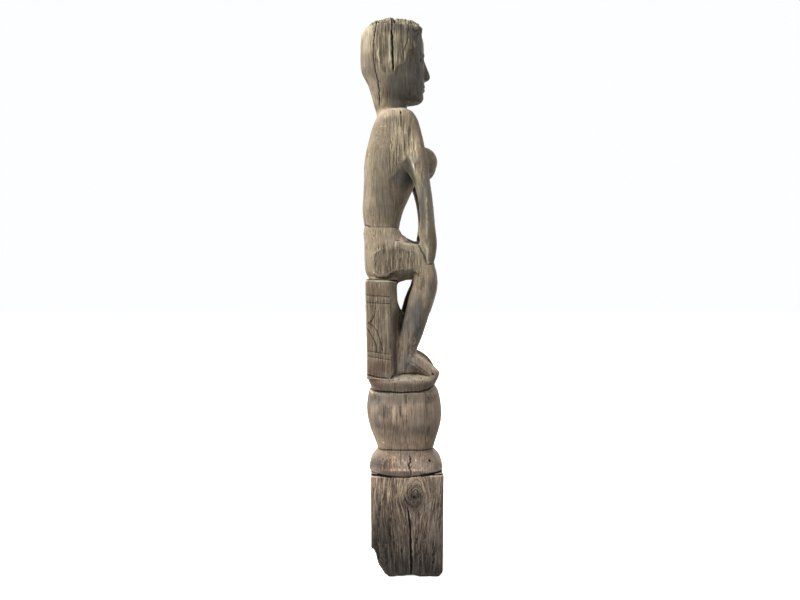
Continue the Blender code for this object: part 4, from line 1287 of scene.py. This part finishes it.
woodGrain = {  # how many changes in a metre along each axis, then how fine and how rough they are
    "broad": ((24, 24, 17), 4),
    "streak": ((165, 165, 8),),
    "fibre": ((480, 480, 24), 1, 0.5),
    "hair": ((1150, 1150, 75), 3, 0.65),
    "fleck": ((420, 420, 330), 3, 0.7),
    "wideLines": ((330, 330, 10), 3),
    "narrowLines": ((520, 520, 18), 2),
    "threads": ((330, 330, 16), 1),
    "broken": ((110, 110, 45), 2),
    "tool": ((45, 45, 150),),
    "bumpHeight": 0.0012,  # metres
}


class Nodes:
    # short ways to add and join a material's nodes
    def __init__(self, tree):
        self.tree = tree
        self.column = 0

    def add(self, kind, **settings):
        node = self.tree.nodes.new(kind)
        self.column += 1
        node.location = (-200 * (self.column % 12), -220 * (self.column // 12))
        for name, value in settings.items():
            setattr(node, name, value)
        return node

    def join(self, value, socket):
        if isinstance(value, bpy.types.NodeSocket):
            self.tree.links.new(value, socket)
        else:
            socket.default_value = value

    def feed(self, node, *values):
        # fills a node's sockets in turn, and gives back its first output
        for socket, value in zip(node.inputs, values):
            self.join(value, socket)
        return node.outputs[0]

    def noise(self, vector, scale, detail=3.0, roughness=0.55):
        placed = self.add("ShaderNodeMapping")
        self.join(vector, placed.inputs["Vector"])
        placed.inputs["Scale"].default_value = scale
        node = self.add("ShaderNodeTexNoise")
        for name, value in (("Vector", placed.outputs[0]), ("Scale", 1.0), ("Detail", detail),
                            ("Roughness", roughness)):
            self.join(value, node.inputs[name])
        return node.outputs["Fac"]

    def calculate(self, operation, first, second=0.0):
        return self.feed(self.add("ShaderNodeMath", operation=operation), first, second)

    def times(self, first, second):
        return self.calculate("MULTIPLY", first, second)

    def fold(self, vector, scale, detail, roughness=0.5):
        # a noise folded at its middle, which draws thin lines where it is near nothing
        offMiddle = self.calculate("SUBTRACT", self.noise(vector, scale, detail, roughness), 0.5)
        return self.calculate("ABSOLUTE", offMiddle)

    def blend(self, *parts):
        # the sum of several values, each with its own share
        total = self.times(*parts[0])
        for value, share in parts[1:]:
            total = self.calculate("ADD", total, self.times(value, share))
        return total

    def between(self, value, low, high, lowTo=0.0, highTo=1.0):
        node = self.add("ShaderNodeMapRange", interpolation_type="SMOOTHSTEP")
        return self.feed(node, value, low, high, lowTo, highTo)

    def lighten(self, stops):
        # a grey to multiply a colour by: each whole step up doubles the light
        grey = self.add("ShaderNodeCombineColor")
        return self.feed(grey, *[self.calculate("POWER", 2.0, stops) for _ in range(3)])

    def mix(self, amount, first, second, blend="MIX"):
        node = self.add("ShaderNodeMix", data_type="RGBA", blend_type=blend)
        for place, value in ((0, amount), (6, first), (7, second)):
            self.join(value, node.inputs[place])
        return node.outputs[2]


def weatheredWood():
    wood = bpy.data.materials.new("weatheredWood")
    wood.use_nodes = True
    make = Nodes(wood.node_tree)
    times, between = make.times, make.between
    shader = make.tree.nodes["Principled BSDF"]
    place = make.add("ShaderNodeTexCoord").outputs["Object"]
    grain = make.add("ShaderNodeAttribute", attribute_name="grain").outputs["Vector"]
    bleach, shade, warm, crack, rough, level = (
        make.add("ShaderNodeAttribute", attribute_name=name).outputs["Fac"] for name in paintNames)

    broad = make.noise(place, *woodGrain["broad"])
    streak = make.noise(grain, *woodGrain["streak"])
    fibre = make.noise(grain, *woodGrain["fibre"])
    hair = make.noise(grain, *woodGrain["hair"])
    fleck = make.noise(place, *woodGrain["fleck"])
    wide = make.fold(grain, *woodGrain["wideLines"])
    narrow = make.fold(grain, *woodGrain["narrowLines"])
    broken = make.noise(place, *woodGrain["broken"])
    tool = make.noise(place, *woodGrain["tool"])

    # from dark to pale along the fibres, with more bite where the grain is open
    tone = make.blend((streak, 0.12), (fibre, 0.49), (hair, 0.21), (fleck, 0.17), (broad, 0.15))
    bite = between(rough, 0.0, 1.0, 0.45, 1.15)
    tone = make.calculate("ADD", times(make.calculate("SUBTRACT", tone, 0.57), bite), 0.57)
    # thin dark lines between the fibres and paler threads, many where the grain is open
    opened = between(rough, 0.0, 1.0, 0.34, 1.0)
    thin = make.calculate("MAXIMUM", times(between(wide, 0.006, 0.034, 0.9, 0.0), between(broken, 0.38, 0.58)),
                    times(between(narrow, 0.01, 0.055, 1.0, 0.0), between(broken, 0.62, 0.42)))
    thin = times(thin, opened)
    thread = between(make.fold(grain, *woodGrain["threads"]), 0.01, 0.04, 1.0, 0.0)
    thread = times(thread, between(broken, 0.5, 0.36))
    colour = woodColours["dark"]
    for amount, name in (
            (between(tone, 0.465, 0.585), "middle"),
            (between(tone, 0.57, 0.7), "pale"),
            (between(broad, 0.46, 0.66, 0.0, 0.35), "grey"),
            (between(warm, 0.0, 1.0, 0.0, 0.75), "warm"),
            (between(times(bleach, between(fibre, 0.3, 0.62, 0.45, 1.0)), 0.0, 1.0, 0.0, 0.85), "bleachedAndHighlight"),
            (between(times(shade, between(streak, 0.3, 0.65, 1.0, 0.7)), 0.0, 1.0, 0.0, 0.92), "stainAndShade"),
            (times(thin, 0.72), "stainAndShade"),
            (times(times(thread, opened), 0.45), "pale")):
        colour = make.mix(amount, colour, woodColours[name])
    faded = make.add("ShaderNodeHueSaturation")  # what is dark is greyer too
    make.join(times(between(level, -1.1, 0.1, 0.86, 1.0), between(warm, -1.0, 0.0, 0.35, 1.0)),
              faded.inputs["Saturation"])
    make.join(colour, faded.inputs["Color"])
    colour = make.mix(1.0, faded.outputs[0], make.lighten(level), "MULTIPLY")
    heights = make.add("ShaderNodeSeparateXYZ")
    make.feed(heights, place)
    tint = make.mix(between(heights.outputs["Z"], 0.05, 0.85), woodColours["lowTint"], woodColours["highTint"])
    colour = make.mix(1.0, colour, tint, "MULTIPLY")
    make.join(make.mix(between(crack, 0.1, 0.75), colour, woodColours["crack"]), shader.inputs["Base Color"])

    height = make.blend((fibre, 0.75), (hair, 0.35), (streak, 0.35), (fleck, 0.25), (tool, 0.2))
    bump = make.add("ShaderNodeBump")
    bump.inputs["Distance"].default_value = woodGrain["bumpHeight"]
    make.join(between(rough, 0.0, 1.0, 0.45, 0.85), bump.inputs["Strength"])
    make.join(make.calculate("SUBTRACT", height, times(thin, 0.8)), bump.inputs["Height"])
    make.join(bump.outputs[0], shader.inputs["Normal"])
    make.join(between(tone, 0.45, 0.75, 0.93, 0.74), shader.inputs["Roughness"])
    shader.inputs["Specular IOR Level"].default_value = 0.25
    return wood


makeStage()
pole = copyOfPole()
skin = carvePole(pole)
storePaint(pole, skin)
thinOut(pole, skin)
bpy.ops.object.shade_smooth()
pole.data.materials.append(weatheredWood())
print("finished:", len(pole.data.polygons), "faces", [layer.name for layer in pole.data.attributes])
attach(pole, "root")
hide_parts("guardian_pole")
